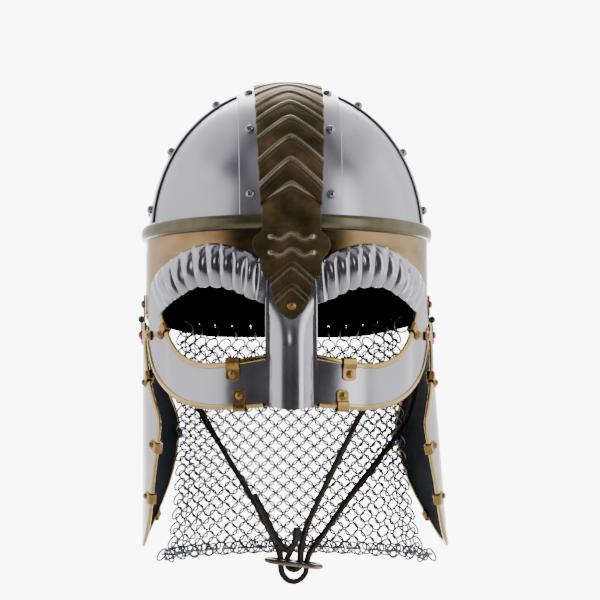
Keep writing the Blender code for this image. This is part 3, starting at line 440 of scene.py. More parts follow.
def across(sign, along, climb, out):
    """A point of the dome at a distance along Y, climbing in degrees from the ear to the top."""
    tilt = math.asin(along / (SKULL_HALF_LENGTH + out))
    t = math.radians(max(climb, 0))
    x = sign * (SKULL_HALF_WIDTH + out) * math.cos(tilt) * math.cos(t)
    y = (SKULL_HALF_LENGTH + out) * math.sin(tilt)
    rise = (CROWN_RISE + out) * math.cos(tilt) * math.sin(t)
    return swell(Vector((x, y, EQUATOR + rise - max(-climb, 0))))



def circle(count):
    """The angles of points spread evenly round a circle."""
    return [2 * math.pi * i / count for i in range(count)]


def dome_normal(point):
    """The outward direction of the crown at one of its points."""
    p = point - Vector((0, 0, EQUATOR))
    return Vector((p.x / SKULL_HALF_WIDTH**2, p.y / SKULL_HALF_LENGTH**2, p.z / CROWN_RISE**2)).normalized()


# Materials


def feed(tree, node, inputs):
    """Sets a node's inputs, each to a plain value or to another node's output."""
    for key, value in inputs.items():
        if isinstance(value, bpy.types.NodeSocket):
            tree.links.new(value, node.inputs[key])
        else:
            node.inputs[key].default_value = value


def add_node(tree, kind, inputs, out, **settings):
    """Adds a shader node and gives one of its outputs."""
    node = tree.nodes.new("ShaderNode" + kind)
    for key, value in settings.items():
        setattr(node, key, value)
    feed(tree, node, inputs)
    return node.outputs[out]


def noise_of(tree, scale, detail, stretch=(1, 1, 1)):
    place = add_node(tree, "TexCoord", {}, "Object")
    place = add_node(tree, "Mapping", {"Vector": place, "Scale": stretch}, "Vector")
    return add_node(tree, "TexNoise", {"Vector": place, "Scale": scale, "Detail": detail}, "Fac")


def ramp_of(tree, source, places, colours):
    ramp = tree.nodes.new("ShaderNodeValToRGB")
    elements = ramp.color_ramp.elements
    while len(elements) < len(places):
        elements.new(0.5)
    for element, at, colour in zip(elements, places, colours):
        element.position = at
        element.color = (*colour, 1.0)
    feed(tree, ramp, {"Fac": source})
    return ramp.outputs["Color"]


def bump_of(tree, source, strength, distance):
    return add_node(tree, "Bump", {"Strength": strength, "Distance": distance, "Height": source}, "Normal")


def new_material(name):
    made = bpy.data.materials.new(name)
    made.use_nodes = True
    return made, made.node_tree, made.node_tree.nodes["Principled BSDF"]


def metal(name, colours, rough, scale, places=(0.3, 0.7), stretch=(1, 1, 1), relief=0.03):
    """A worn metal: its colour and roughness drift over the surface, under a fine grain."""
    made, tree, shader = new_material(name)
    drift = noise_of(tree, scale, 5.0, stretch)
    limits = {"Value": drift, "From Min": 0.3, "From Max": 0.7, "To Min": rough[0], "To Max": rough[1]}
    grain = noise_of(tree, METAL_GRAIN, 2.0, stretch)
    inputs = {
        "Metallic": 1.0,
        "Base Color": ramp_of(tree, drift, places, colours),
        "Roughness": add_node(tree, "MapRange", limits, "Result"),
        "Normal": bump_of(tree, grain, relief, GRAIN_DEPTH),
    }
    feed(tree, shader, inputs)
    return made


def paint_middle_shade(made, near, far, shade):
    """Paints shade into a metal's colour near the helmet's middle plane: full shade inside near, none beyond
    far.
    """
    tree = made.node_tree
    shader = tree.nodes["Principled BSDF"]
    colour = shader.inputs["Base Color"].links[0].from_socket
    place = add_node(tree, "TexCoord", {}, "Object")
    side = add_node(tree, "SeparateXYZ", {"Vector": place}, "X")
    side = add_node(tree, "Math", {0: side}, "Value", operation="ABSOLUTE")
    limits = {"Value": side, "From Min": near, "From Max": far, "To Min": shade, "To Max": 1.0}
    fade = add_node(tree, "MapRange", limits, "Result", interpolation_type="SMOOTHSTEP")
    dim = add_node(tree, "VectorMath", {0: colour, "Scale": fade}, "Vector", operation="SCALE")
    feed(tree, shader, {"Base Color": dim})


def paint(name, colours, gloss):
    """Sprayed matt paint, a little uneven."""
    made, tree, shader = new_material(name)
    colour = ramp_of(tree, noise_of(tree, 45.0, 4.0), (0.3, 0.7), colours)
    feed(tree, shader, {"Base Color": colour, "Roughness": 0.7, "Specular IOR Level": gloss})
    return made


def bronze_material():
    """Dark cast bronze, rubbed pale on what stands proud."""
    made, tree, shader = new_material("aged_bronze_look")
    colours = ((0.07, 0.052, 0.027), (0.16, 0.115, 0.055), (0.32, 0.21, 0.095))
    dark = ramp_of(tree, noise_of(tree, 55.0, 5.0), (0.3, 0.55, 0.75), colours)
    wear = add_node(tree, "Attribute", {}, "Fac", attribute_name="wear")
    mixed = {"A": dark, "B": (0.52, 0.44, 0.33, 1.0), "Factor": wear}
    inputs = {
        "Metallic": 1.0,
        "Base Color": add_node(tree, "Mix", mixed, "Result", data_type="RGBA"),
        "Roughness": add_node(tree, "MapRange", {"Value": wear, "To Min": 0.46, "To Max": 0.26}, "Result"),
        "Normal": bump_of(tree, noise_of(tree, 700.0, 3.0), 0.25, GRAIN_DEPTH),
    }
    feed(tree, shader, inputs)
    return made


def leather_material():
    """Very dark leather, with the rough grey-brown flesh side showing on the edges."""
    made, tree, shader = new_material("lace_leather_look")
    edge = add_node(tree, "Attribute", {}, "Fac", attribute_name="edge")
    grain = noise_of(tree, 420.0, 5.0)
    fuzz = add_node(tree, "Math", {0: grain, 1: 0.7, 2: edge}, "Value", operation="MULTIPLY_ADD")
    colours = ((0.017, 0.011, 0.008), (0.045, 0.030, 0.022), (0.16, 0.12, 0.09))
    inputs = {
        "Base Color": ramp_of(tree, fuzz, (0.30, 0.75, 1.0), colours),
        "Roughness": 0.72,
        "Normal": bump_of(tree, grain, 0.5, 0.0006),
    }
    feed(tree, shader, inputs)
    return made


STEEL = metal("satin_steel_look", ((0.55, 0.535, 0.60), (0.63, 0.615, 0.675)), (0.27, 0.38), 16.0)
GUARD_STEEL = metal("guard_steel_look", ((0.56, 0.545, 0.61), (0.64, 0.63, 0.685)), (0.18, 0.27), 20.0)
RIVET_STEEL = metal("rivet_steel_look", ((0.34, 0.34, 0.36), (0.48, 0.48, 0.50)), (0.14, 0.22), 90.0)
EDGE_BRASS = metal("edge_brass_look", ((0.66, 0.46, 0.17), (0.78, 0.57, 0.25)), (0.16, 0.26), 70.0)
CLIP_BRASS = metal("clip_brass_look", ((0.40, 0.24, 0.07), (0.56, 0.35, 0.12)), (0.2, 0.34), 110.0)
BEAD_BRASS = metal("bead_brass_look", ((0.11, 0.098, 0.062), (0.21, 0.185, 0.12)), (0.25, 0.4), 40.0)
BROW_BRASS = metal(
    "brow_brass_look",
    ((0.24, 0.15, 0.065), (0.42, 0.27, 0.125), (0.54, 0.37, 0.19)),
    (0.24, 0.42),
    24.0,
    places=(0.28, 0.5, 0.74),
    stretch=(1, 1, 2.2),
    relief=0.12,
)
# painted shade: the brow band's colour is darkened near the middle plane, beside the crest
paint_middle_shade(BROW_BRASS, 0.034, 0.060, 0.3)
RING_STEEL = metal("ring_steel_look", ((0.20, 0.21, 0.22), (0.38, 0.39, 0.40)), (0.24, 0.40), 200.0)
RING_STEEL.node_tree.nodes["Principled BSDF"].inputs["Specular Tint"].default_value = (0.12, 0.12, 0.13, 1)
SLIDE_METAL = metal(
    "slide_look",
    ((0.24, 0.17, 0.09), (0.34, 0.27, 0.18), (0.46, 0.42, 0.38)),
    (0.3, 0.45),
    45.0,
    places=(0.35, 0.5, 0.62),
)
BLACK_PAINT = paint("black_paint_look", ((0.0015, 0.0015, 0.002), (0.003, 0.003, 0.004)), 0.05)
GREY_PAINT = paint("grey_paint_look", ((0.014, 0.019, 0.025), (0.024, 0.030, 0.038)), 0.2)
BRONZE = bronze_material()
LEATHER = leather_material()


# Mesh building


class Parts:
    """Points in millimetres, faces and their material numbers, gathered for one mesh."""

    def __init__(self):
        self.points = []
        self.faces = []
        self.index = []

    def face(self, corners, material=0):
        self.faces.append(tuple(corners))
        self.index.append(material)

    def loft(self, rings, materials=(0,), closed=False, tip=None):
        """Joins rings of points, with a material for each side or one for all. The ends are flat,
        unless the last ring is joined to the first or runs to a tip."""
        base = len(self.points)
        count = len(rings)
        n = len(rings[0])
        sides = materials if len(materials) == n else materials * n
        for ring in rings:
            self.points += ring
        for i in range(count if closed else count - 1):
            a = base + i * n
            b = base + (i + 1) % count * n
            for j in range(n):
                k = (j + 1) % n
                self.face((a + j, a + k, b + k, b + j), sides[j])
        if closed:
            return
        last = base + (count - 1) * n
        self.face(range(base + n - 1, base - 1, -1), sides[0])
        if tip is None:
            self.face(range(last, last + n), sides[0])
            return
        self.points.append(tip)
        for j in range(n):
            self.face((last + j, last + (j + 1) % n, last + n), sides[0])

    def sheet(self, place, rows, thick):
        """A closed sheet over a grid of (a, b, inner offset), with material 1 on its inside."""
        cells = [cell for row in rows for cell in row]
        base = len(self.points)
        count = len(cells)
        wide = len(rows[0])
        self.points += [place(a, b, d) for a, b, d in cells]
        self.points += [place(a, b, d + (thick(a, b) if callable(thick) else thick)) for a, b, d in cells]
        for r in range(len(rows) - 1):
            for c in range(wide - 1):
                k = base + r * wide + c
                m = k + wide
                self.face((k + count, k + 1 + count, m + 1 + count, m + count))
                self.face((k, m, m + 1, k + 1), 1)
        end = count - wide
        rim = [(c, c + 1) for c in range(wide - 1)]
        rim += [(end + c + 1, end + c) for c in range(wide - 1)]
        for k in range(0, end, wide):
            rim += [(k + wide, k), (k + wide - 1, k + 2 * wide - 1)]
        for a, b in rim:
            self.face((base + a, base + b, base + b + count, base + a + count))

    def dome(self, seat, normal, radius, height, material=0, sides=22):
        """A high round rivet head, with its foot sunk a little under its seat."""
        turn = normal.to_track_quat("Z", "Y")
        rings = []
        for level in range(DOME_LEVELS):
            a = math.pi / 2 * level / DOME_LEVELS
            r, z = radius * math.cos(a - 0.12), height * math.sin(a)
            if level == 0:
                r, z = radius * 0.98, -DOME_SUNK
            ring = [turn @ Vector((r * math.cos(t), r * math.sin(t), z)) for t in circle(sides)]
            rings.append([seat + p for p in ring])
        self.loft(rings, (material,), tip=seat + turn @ Vector((0, 0, height)))

    def tube(self, path, radius, sides, closed=False, flat=1.0, steady=None):
        """A tube along points; flat squeezes it along its second axis, which steady holds still."""
        up = steady or Vector((0, 0, 1))
        rings = []
        for i, p in enumerate(path):
            ahead = heading(path, i, closed)
            side = ahead.cross(steady or up).normalized()
            up = side.cross(ahead).normalized()
            ring = []
            for t in circle(sides):
                ring.append(p + side * (radius * math.cos(t)) + up * (radius * flat * math.sin(t)))
            rings.append(ring)
        self.loft(rings, closed=closed)


def heading(path, i, closed=False):
    """The direction of a line of points at one of them."""
    if closed:
        return (path[(i + 1) % len(path)] - path[i - 1]).normalized()
    return (path[min(i + 1, len(path) - 1)] - path[max(i - 1, 0)]).normalized()


def finish_mesh(name, parts, materials, angle=35, rim=0.0, fields=None):
    """A smooth-shaded object from gathered parts, with its faces turned outwards."""
    mesh = bpy.data.meshes.new(name)
    mesh.from_pydata([tuple(Vector(p) * MM) for p in parts.points], [], parts.faces)
    for made in materials:
        mesh.materials.append(made)
    mesh.polygons.foreach_set("material_index", parts.index)
    for key, values in (fields or {}).items():
        mesh.attributes.new(key, "FLOAT", "POINT").data.foreach_set("value", values)
    bm = bmesh.new()
    bm.from_mesh(mesh)
    bmesh.ops.recalc_face_normals(bm, faces=bm.faces)
    if bm.calc_volume(signed=True) < 0:
        bmesh.ops.reverse_faces(bm, faces=bm.faces)
    bm.to_mesh(mesh)
    bm.free()
    mesh.shade_smooth()
    mesh.set_sharp_from_angle(angle=math.radians(angle))
    obj = bpy.data.objects.new(name, mesh)
    bpy.context.scene.collection.objects.link(obj)
    if rim:
        edge = obj.modifiers.new("rim", "BEVEL")
        edge.width = rim * MM
        edge.segments = 2
        edge.limit_method = "ANGLE"
        edge.angle_limit = math.radians(50)
    return obj


def ride_along(obj, body, node):
    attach(obj, body)
    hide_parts(node)
    return obj


def show(suffix, node, slot, parts, materials, body="helmet", **options):
    """Makes the visible mesh that replaces a node and rides on a body."""
    return ride_along(finish_mesh(f"{node}_{suffix}", parts, materials, **options), body, node)


# Laces


def lace_line(route, step=2.2):
    """Points along the smooth curve through a route, close together and evenly spread."""
    spans = len(route) - 1
    line = []
    for i, (start, end) in enumerate(zip(route, route[1:])):
        pieces = max(2, math.ceil((Vector(end) - Vector(start)).length / step))
        line += [Vector(smooth(route, (i + k / pieces) / spans)) for k in range(pieces)]
    line.append(Vector(route[-1]))
    return line


def make_lace(name, route):
    """A cut leather lace of square section with rounded corners and a slow twist."""
    line = lace_line(route)
    rings = []
    edges = []
    up = Vector((0, -1, 0.2)).normalized()
    length = 0.0
    for i, p in enumerate(line):
        if i:
            length += (p - line[i - 1]).length
        ahead = heading(line, i)
        side = ahead.cross(up).normalized()
        up = side.cross(ahead).normalized()
        twist = 0.5 * math.sin(length / 41.0) + 0.25 * math.sin(length / 13.0)
        rough = 1 + 0.035 * noise.noise(p * 0.35)
        ring = []
        for t in circle(16):
            c = math.cos(t)
            s = math.sin(t)
            square = (abs(c) ** 5 + abs(s) ** 5) ** -0.2
            r = LACE_DIAMETER / 2 * rough * (0.90 * square)
            r *= 1 + 0.03 * noise.noise(Vector((p.x * 0.8, p.y * 0.8 + 7 * c, p.z * 0.8 + 7 * s)))
            a = t + twist
            ring.append(p + side * (r * math.cos(a)) + up * (r * math.sin(a)))
            edges.append(max(0.0, (square - 1.04) / 0.12) * 0.34)
        rings.append(ring)
    parts = Parts()
    parts.loft(rings)
    obj = show("leather", name, "dark_leather", parts, [LEATHER], angle=60, fields={"edge": edges})


# Bowl


def make_crown_panels():
    lap_x = RIDGE_HALF_WIDTH - PANEL_LAP
    lap_y = SIDE_HALF_WIDTH - PANEL_LAP
    top = math.hypot(lap_x / SKULL_HALF_WIDTH, lap_y / SKULL_HALF_LENGTH) * 1.05
    highest = math.degrees(math.acos(top))
    for end, sy in (("front", 1), ("rear", -1)):
        for hand, sx in HANDS:

            def place(share, climb, out):
                lift = math.cos(math.radians(max(climb, 0)))
                first = math.asin(lap_x / (SKULL_HALF_WIDTH * lift))
                last = math.acos(lap_y / (SKULL_HALF_LENGTH * lift))
                t = first + (last - first) * share
                rise = (CROWN_RISE + out) * math.sin(math.radians(max(climb, 0)))
                x = sx * (SKULL_HALF_WIDTH + out) * lift * math.sin(t)
                y = -sy * (SKULL_HALF_LENGTH + out) * lift * math.cos(t)
                return swell(Vector((x, y, EQUATOR + rise - max(-climb, 0))))

            climbs = [-TUCK] + [highest * i / 40 for i in range(41)]
            parts = Parts()
            parts.sheet(place, [[(i / 30, climb, 0.0) for i in range(31)] for climb in climbs], PLATE)
            show("sheet", f"crown_panel_{end}_{hand}", "satin_steel", parts, [STEEL, BLACK_PAINT])


def make_ridge_band():
    turns = [-TUCK] + [180 * i / 120 for i in range(121)] + [180 + TUCK]
    columns = [RIDGE_HALF_WIDTH * (i / 12 - 1) for i in range(25)]
    parts = Parts()
    parts.sheet(over, [[(side, turn, RIDGE_INNER) for side in columns] for turn in turns], PLATE)
    inset = RIDGE_HALF_WIDTH - RIDGE_RIVET_INSET
    for turn in RIDGE_RIVET_TURNS:
        for side in (-inset, inset):
            seat = over(side, turn, RIDGE_OUTER)
            parts.dome(seat, dome_normal(seat), HEAD_RADIUS, RIDGE_HEAD_HEIGHT, 2)
    show("sheet", "ridge_band", "satin_steel", parts, [STEEL, BLACK_PAINT, RIVET_STEEL], rim=0.5)


def make_side_bands():
    edge = RIDGE_HALF_WIDTH + TOUCH_GAP + 0.1
    inset = SIDE_HALF_WIDTH - SIDE_RIVET_INSET
    for hand, sign in HANDS:

        def place(along, share, out):
            if share < 0:
                return across(sign, along, share, out)
            tilt = math.asin(along / (SKULL_HALF_LENGTH + out))
            top = math.acos(edge / ((SKULL_HALF_WIDTH + out) * math.cos(tilt)))
            return across(sign, along, math.degrees(top) * share, out)

        columns = [SIDE_HALF_WIDTH * (i / 9 - 1) for i in range(19)]
        shares = [-TUCK] + [i / 44 for i in range(45)]
        parts = Parts()
        parts.sheet(place, [[(along, share, RIDGE_INNER) for along in columns] for share in shares], PLATE)
        for climb in SIDE_RIVET_TURNS:
            for along in (-inset, inset):
                seat = across(sign, along, climb, RIDGE_OUTER)
                parts.dome(seat, dome_normal(seat), HEAD_RADIUS, SIDE_HEAD_HEIGHT, 2)
        show("sheet", f"side_band_{hand}", "satin_steel", parts, [STEEL, BLACK_PAINT, RIVET_STEEL], rim=0.5)


def brow_edge(turn):
    return FACE_DROP * table_at(BROW_EDGE, abs((turn + 180) % 360 - 180))


def mail_arc(out, steps):
    """Turns along the mail's top edge, and the length of the wall up to each."""
    turns = [MAIL_LEFT_TURN + (MAIL_RIGHT_TURN - MAIL_LEFT_TURN) * i / steps for i in range(steps + 1)]
    lengths = [0.0]
    for a, b in zip(turns, turns[1:]):
        lengths.append(lengths[-1] + (wall(b, 0, out) - wall(a, 0, out)).length)
    return turns, lengths


def rim_turns():
    """Where the holes for the mail are round the back rim, evenly spread along it."""
    fine, lengths = mail_arc(BROW_INNER, 600)
    nape = min(range(len(fine)), key=lambda k: abs(fine[k] - 180))
    want = (lengths[nape] - RIM_SHIFT) % RIM_PITCH
    if want < RIM_MARGIN:
        want += RIM_PITCH
    turns = []
    k = 0
    while want < lengths[-1] - RIM_MARGIN:
        while lengths[k + 1] < want:
            k += 1
        turns.append(fine[k])
        want += RIM_PITCH
    return turns


def make_brow_band():
    """The band with its bead, painted inside, with the holes for the mail cut through its rim."""
    half = BEAD_HEIGHT / 2
    bead = []
    for i in range(15):
        a = math.pi * i / 14
        bead.append((-half + half * math.cos(a), BROW_OUTER + BEAD_PROUD * math.sin(a) ** 0.8))
    rings = []
    for i in range(200):
        turn = 360 * i / 200
        low = brow_edge(turn)
        drops = [low + (BROW_TOP - low) * k / 8 for k in range(9)]
        section = [(drop, BROW_OUTER) for drop in drops] + bead + [(-BEAD_HEIGHT, BROW_INNER)]
        section += [(drop, BROW_INNER) for drop in drops[::-1]]
        rings.append([wall(turn, drop, out) for drop, out in section])
    parts = Parts()
    parts.loft(rings, [0] * 8 + [1] * 15 + [0] + [2] * 9 + [0], closed=True)
    obj = finish_mesh("brow_band_sheet", parts, [BROW_BRASS, BEAD_BRASS, BLACK_PAINT])
    holes = Parts()
    for turn in rim_turns():
        seat = wall(turn, brow_edge(turn) - RIM_HOLE_RISE, BROW_INNER)
        out = wall_normal(turn)
        holes.tube([seat - out * 2, seat + out * 4], RIM_HOLE_RADIUS, 12)
    cutter = finish_mesh("rim_holes", holes, [BLACK_PAINT])
    cut = obj.modifiers.new("holes", "BOOLEAN")
    cut.operation = "DIFFERENCE"
    cut.object = cutter
    bpy.context.view_layer.update()
    baked = bpy.data.meshes.new_from_object(obj.evaluated_get(bpy.context.evaluated_depsgraph_get()))
    obj.modifiers.clear()
    obj.data = baked
    bpy.data.objects.remove(cutter, do_unlink=True)
    ride_along(obj, "helmet", "brow_band")


# Eye guard


def nose_lift(turn, share):
    f = min(max((share - NOSE_START) / (NOSE_FULL - NOSE_START), 0), 1)
    edge = SPOKES_BROW[0][2]
    if abs(turn) >= edge:
        return 0.0
    return NOSE_BULGE * f * (3 - 2 * f) * f * math.cos(math.pi * turn / (2 * edge)) ** 0.8


def nose_drop(turn, share):
    edge = SPOKES_BROW[0][2]
    low = SPOKES_JAW[-1][3]
    f = min(max((share - NOSE_DIP_START) / (low - NOSE_DIP_START), 0), 1)
    return FACE_DROP * share + NOSE_DIP * f * max(math.cos(math.pi * turn / (2 * edge)), 0)


def spokes(fine):
    """All spokes round the eye, and where the temple's and the jaw's start."""
    rows = []
    starts = []
    stretches = ((SPOKES_BROW, 2 * BROW_FLUTES * fine), (SPOKES_TEMPLE, 4 * fine), (SPOKES_JAW, 10 * fine))
    for keys, count in stretches:
        starts.append(len(rows))
        rows += [smooth(keys, i / count) for i in range(count)]
    rows.append(list(SPOKES_JAW[-1]))
    return rows, starts[1], starts[2]


def make_eye_guard():
    """The fluted brows and lower bows round both eyes, and the nose ridge over their ends."""
    rows, corner, _ = spokes(5)
    first = SPOKES_BROW[0]
    last = SPOKES_JAW[-1]
    steps = 40
    for i in range(1, steps + 1):
        f = i / steps
        rows.append([a + (b - a) * f for a, b in zip(last[:4], first[:4])] + [first[4] * f])
    parts = Parts()
    for sign in (1, -1):
        grid = []
        for i, (eye_turn, eye_drop, rim_turn, rim_drop, bulge) in enumerate(rows):
            flute = 0.0
            wave = 0.0
            if i <= corner:
                wave = abs(math.sin(math.pi * BROW_FLUTES * i / corner)) ** 0.8
                flute = (FLUTE_DEPTH + 1.3) * (wave - 1) * min(1, 2 * bulge)
                wave *= min(1, 2 * bulge)
            line = []
            for v in [k / 15 for k in range(16)]:
                turn = eye_turn + (rim_turn - eye_turn) * v
                drop = eye_drop + FLUTE_SCALLOP * wave * (1 - v) + (rim_drop - eye_drop) * v
                body = math.sin(math.pi * v) ** 0.7 if 0 < v < 1 else 0.0
                lip = max(0, 1 - v / 0.12) * 0.8 * wave
                lift = max(BROW_BULGE * bulge + flute, 0) * body + lip
                line.append((sign * turn, FACE_DROP * drop, MASK_INNER + lift))
            grid.append(line)
        parts.sheet(wall, grid, PLATE)
    grid = []
    for i in range(steps * 2 + 1):
        f = i / (steps * 2)
        share = last[3] + (first[3] - last[3]) * f
        edge = last[2] + (first[2] - last[2]) * f
        turns = [edge * (c / 16 - 1) for c in range(33)]
        grid.append([(turn, nose_drop(turn, share), MASK_INNER + nose_lift(turn, share)) for turn in turns])
    parts.sheet(wall, grid, PLATE)
    show("sheet", "eye_guard", "satin_steel", parts, [GUARD_STEEL, BLACK_PAINT], angle=50)


def edge_frames(path, inwards):
    """Places along a sheet's edge, with the directions into the sheet and out of its face."""
    frames = []
    count = len(path)
    for i, (turn, drop) in enumerate(path):
        here = wall(turn, drop, MASK_MID)
        before = wall(*path[max(i - 1, 0)], MASK_MID)
        after = wall(*path[min(i + 1, count - 1)], MASK_MID)
        back = (here - before).normalized() if i else (after - here).normalized()
        ahead = (after - here).normalized() if i < count - 1 else back
        outwards = wall_normal(turn)
        into = outwards.cross((back + ahead).normalized()).normalized() * inwards
        frames.append((here, into, outwards))
    return frames


def show_edging(node, frames, body="helmet", turned=Matrix()):
    """A rolled channel, open towards the sheet, swept along an edge."""
    half = PLATE / 2 + TOUCH_GAP * 0.5
    full = half + CHANNEL_WALL
    lip = -TOUCH_GAP - CHANNEL_WALL
    section = [(CHANNEL_COVER, half + 0.25), (CHANNEL_COVER - 0.3, full - 0.1)]
    for i in range(13):
        a = math.pi * i / 12
        u = lip + (CHANNEL_COVER - 0.8 - lip) * (1 - abs(math.sin(a)) ** 1.1)
        section.append((u, full * math.cos(a)))
    section += [(CHANNEL_COVER - 0.3, -full + 0.1), (CHANNEL_COVER, -half - 0.25), (CHANNEL_COVER, -half)]
    section += [(-TOUCH_GAP, -half), (-TOUCH_GAP, half), (CHANNEL_COVER, half)]
    parts = Parts()
    parts.loft([[turned @ (here + into * u + out * w) for u, w in section] for here, into, out in frames])
    show("roll", node, "brass", parts, [EDGE_BRASS], body, angle=50)


def clip_section(reach):
    """A strap's section, folded round the channel and flat on the sheet up to its reach."""
    sheet = PLATE / 2 + TOUCH_GAP
    rim = sheet + CHANNEL_WALL + TOUCH_GAP + 0.1
    end = -TOUCH_GAP - CHANNEL_WALL - CLIP_CLEARANCE + CLIP_BEND
    p = CLIP_PLATE
    step = CHANNEL_COVER + CLIP_CLEARANCE
    outer = [(reach, sheet), (reach, sheet + p), (step + 1.4, sheet + p)]
    outer += [(step + 0.4, sheet + p + 0.25), (step - 0.8, rim + p)]
    for i in range(9):
        a = math.pi * i / 8
        outer.append((end - (p + CLIP_BEND) * math.sin(a), (rim + p) * math.cos(a)))
    outer += [(step, -rim - p), (step, -rim)]
    for i in range(9):
        a = math.pi * (1 - i / 8)
        outer.append((end - CLIP_BEND * math.sin(a), rim * math.cos(a)))
    return outer + [(step - 0.8, rim), (step + 0.2, sheet + 0.2), (step + 1.2, sheet)]


def make_clip(name, turn, drop, into, width, reach, body="helmet", turned=Matrix()):
    """A strap folded over the channel with a domed rivet, its free end rounded."""
    centre = wall(turn, drop, MASK_MID)
    outwards = wall_normal(turn)
    level = Vector((0, 0, 1)).cross(outwards).normalized()
    into_dir = (level * into[0] - Vector((0, 0, 1)) * into[1]).normalized()
    along = outwards.cross(into_dir).normalized()
    rings = []
    for i in range(13):
        f = i / 6 - 1
        back = 2.2 * abs(f) ** 4
        middle = centre + along * (width / 2 * f)
        ring = []
        for u, w in clip_section(reach):
            ring.append(middle + into_dir * (u - back * max(0, (u - reach + 3) / 3)) + outwards * w)
        rings.append(ring)
    parts = Parts()
    parts.loft(rings)
    flat_start = CHANNEL_COVER + CLIP_CLEARANCE + 1.3
    inset = max(reach - CLIP_RIVET_INSET, flat_start + 2 * CLIP_RIVET_RADIUS) - CLIP_RIVET_RADIUS
    seat = centre + into_dir * inset + outwards * (PLATE / 2 + TOUCH_GAP + CLIP_PLATE)
    for rise, more, height in CLIP_RIVET_HEADS:
        parts.dome(seat + outwards * rise, outwards, CLIP_RIVET_RADIUS + more, height, sides=24)
    parts.points = [turned @ p for p in parts.points]
    show("strap", name, "brass", parts, [CLIP_BRASS], body, angle=40, rim=0.2)


def make_guard_trim():
    """The channels and straps of both eyes and both lower bows."""
    rows, temple, jaw = spokes(4)
    before = smooth(SPOKES_TEMPLE, (TEMPLE_STEPS - 1) / TEMPLE_STEPS)
    side = smooth(SPOKES_JAW, 0)
    third, second, first = [smooth(SPOKES_JAW, i / JAW_STEPS) for i in range(JAW_STEPS - 3, JAW_STEPS)]
    for hand, sign in HANDS:
        eye = [(sign * r[0], FACE_DROP * r[1]) for r in rows[temple + 1 :]]
        show_edging(f"eye_edging_{hand}", edge_frames(eye, sign))
        corner = [smooth(SPOKES_TEMPLE, 2 / 3 + i / 12) for i in range(4)]
        rim = [(sign * r[2], FACE_DROP * r[3]) for r in corner + rows[jaw:]]
        rim[-1] = (sign * (abs(rim[-1][0]) + 1.2), rim[-1][1])
        show_edging(f"jaw_edging_{hand}", edge_frames(rim, -sign))
        slant = (sign * 0.81, 0.59)
        clips = (
            ("eye_clip_inner", second, third, EYE_CLIP_SHARE, 0, (0, 1), EYE_CLIP_WIDTH, EYE_CLIP_REACH),
            ("jaw_clip_inner", second, first, JAW_CLIP_SHARE, 2, (0, -1), JAW_CLIP_WIDTH, JAW_CLIP_REACH),
            ("eye_clip_outer", side, before, 0.5, 0, slant, CORNER_CLIP_WIDTH, CORNER_CLIP_REACH),
            ("jaw_clip_outer", side, before, 0.5, 2, (-sign, 0.05), SIDE_CLIP_WIDTH, CORNER_CLIP_REACH),
        )
        for name, a, b, f, column, into, width, reach in clips:
            turn, drop = [a[k] + (b[k] - a[k]) * f for k in (column, column + 1)]
            make_clip(f"{name}_{hand}", sign * turn, FACE_DROP * drop, into, width, reach)


def make_slide():
    """The slide under the chin: a flat rounded rim with a bar across its middle."""
    tilt = Matrix.Rotation(math.radians(SLIDE_TILT), 4, "Y")
    lean = tilt @ Matrix.Rotation(math.radians(SLIDE_LEAN), 4, "X")
    normal = lean @ Vector((0, 0, 1))
    inset = SLIDE_HALF_DEPTH - SLIDE_BAR
    path = []
    for a in circle(48):
        middle = (SLIDE_HALF_LENGTH - SLIDE_HALF_DEPTH) * math.copysign(1, math.cos(a))
        path.append(SLIDE_CENTRE + lean @ Vector((middle + inset * math.cos(a), inset * math.sin(a), 0)))
    parts = Parts()
    parts.tube(path, SLIDE_BAR, 14, closed=True, flat=0.62, steady=normal)
    bar = [SLIDE_CENTRE + lean @ Vector((0, inset * f, 0)) for f in (-1, 0, 1)]
    parts.tube(bar, SLIDE_WEB - 0.1, 14, flat=0.9, steady=normal)
    show("rim", "chin_slide", "satin_steel", parts, [SLIDE_METAL], angle=50)


# Crest


def crest_under(turn, drop):
    return MASK_OUTER + LAYER_GAP + max(nose_lift(turn, drop / FACE_DROP), BROW_END_LIFT)


def ridge(distance, half, height):
    """A rounded ridge: full height at its line and nothing beyond its half width."""
    f = min(abs(distance) / half, 1)
    return height * (1 - f * f) ** 1.5


def tip_relief(x, drop):
    """The relief of the crest's tip: two raised chevrons under two waves that end in balls."""
    best = 0.0
    soft = math.sqrt(x * x + 3.0) - math.sqrt(3.0)
    for apex, slope, half in TIP_CHEVRONS:
        d = (drop - apex - slope * soft) / math.sqrt(1 + slope * slope)
        plate = min(max((half - abs(d)) / 0.7, 0), 1)
        best = max(best, 0.9 * plate * plate * (3 - 2 * plate) + ridge(abs(d) - half + 0.7, 0.55, 0.3))
    a = abs(x)
    if a < WAVE_TURN:
        dip = WAVE_DIP * (1 - math.cos(math.pi * a / WAVE_TURN)) / 2
        slope = WAVE_DIP * math.pi / (2 * WAVE_TURN) * math.sin(math.pi * a / WAVE_TURN)
    else:
        f = min((a - WAVE_TURN) / (WAVE_END - WAVE_TURN), 1)
        dip = WAVE_DIP - WAVE_LIFT * (1 - math.cos(math.pi * f)) / 2
        slope = 0.5 * math.sin(math.pi * f)
    for top in WAVE_TOPS:
        if a <= WAVE_END:
            best = max(best, ridge((drop - top - dip) / math.sqrt(1 + slope * slope), WAVE_HALF, WAVE_PROUD))
        ball = math.hypot(a - WAVE_END, drop - top - WAVE_DIP + WAVE_LIFT)
        if ball < WAVE_BALL:
            best = max(best, WAVE_BALL_PROUD * math.sqrt(1 - (ball / WAVE_BALL) ** 2))
    return best


def half_at(drop):
    """The half width of the crest's tip at a drop."""
    return row_at(TIP_OUTLINE, drop)[1]


def crest_half(turn):
    waist = CREST_HALF_WIDTH * CREST_WAIST
    return waist + (CREST_TOP_HALF_WIDTH - waist) * math.sin(math.radians(turn))


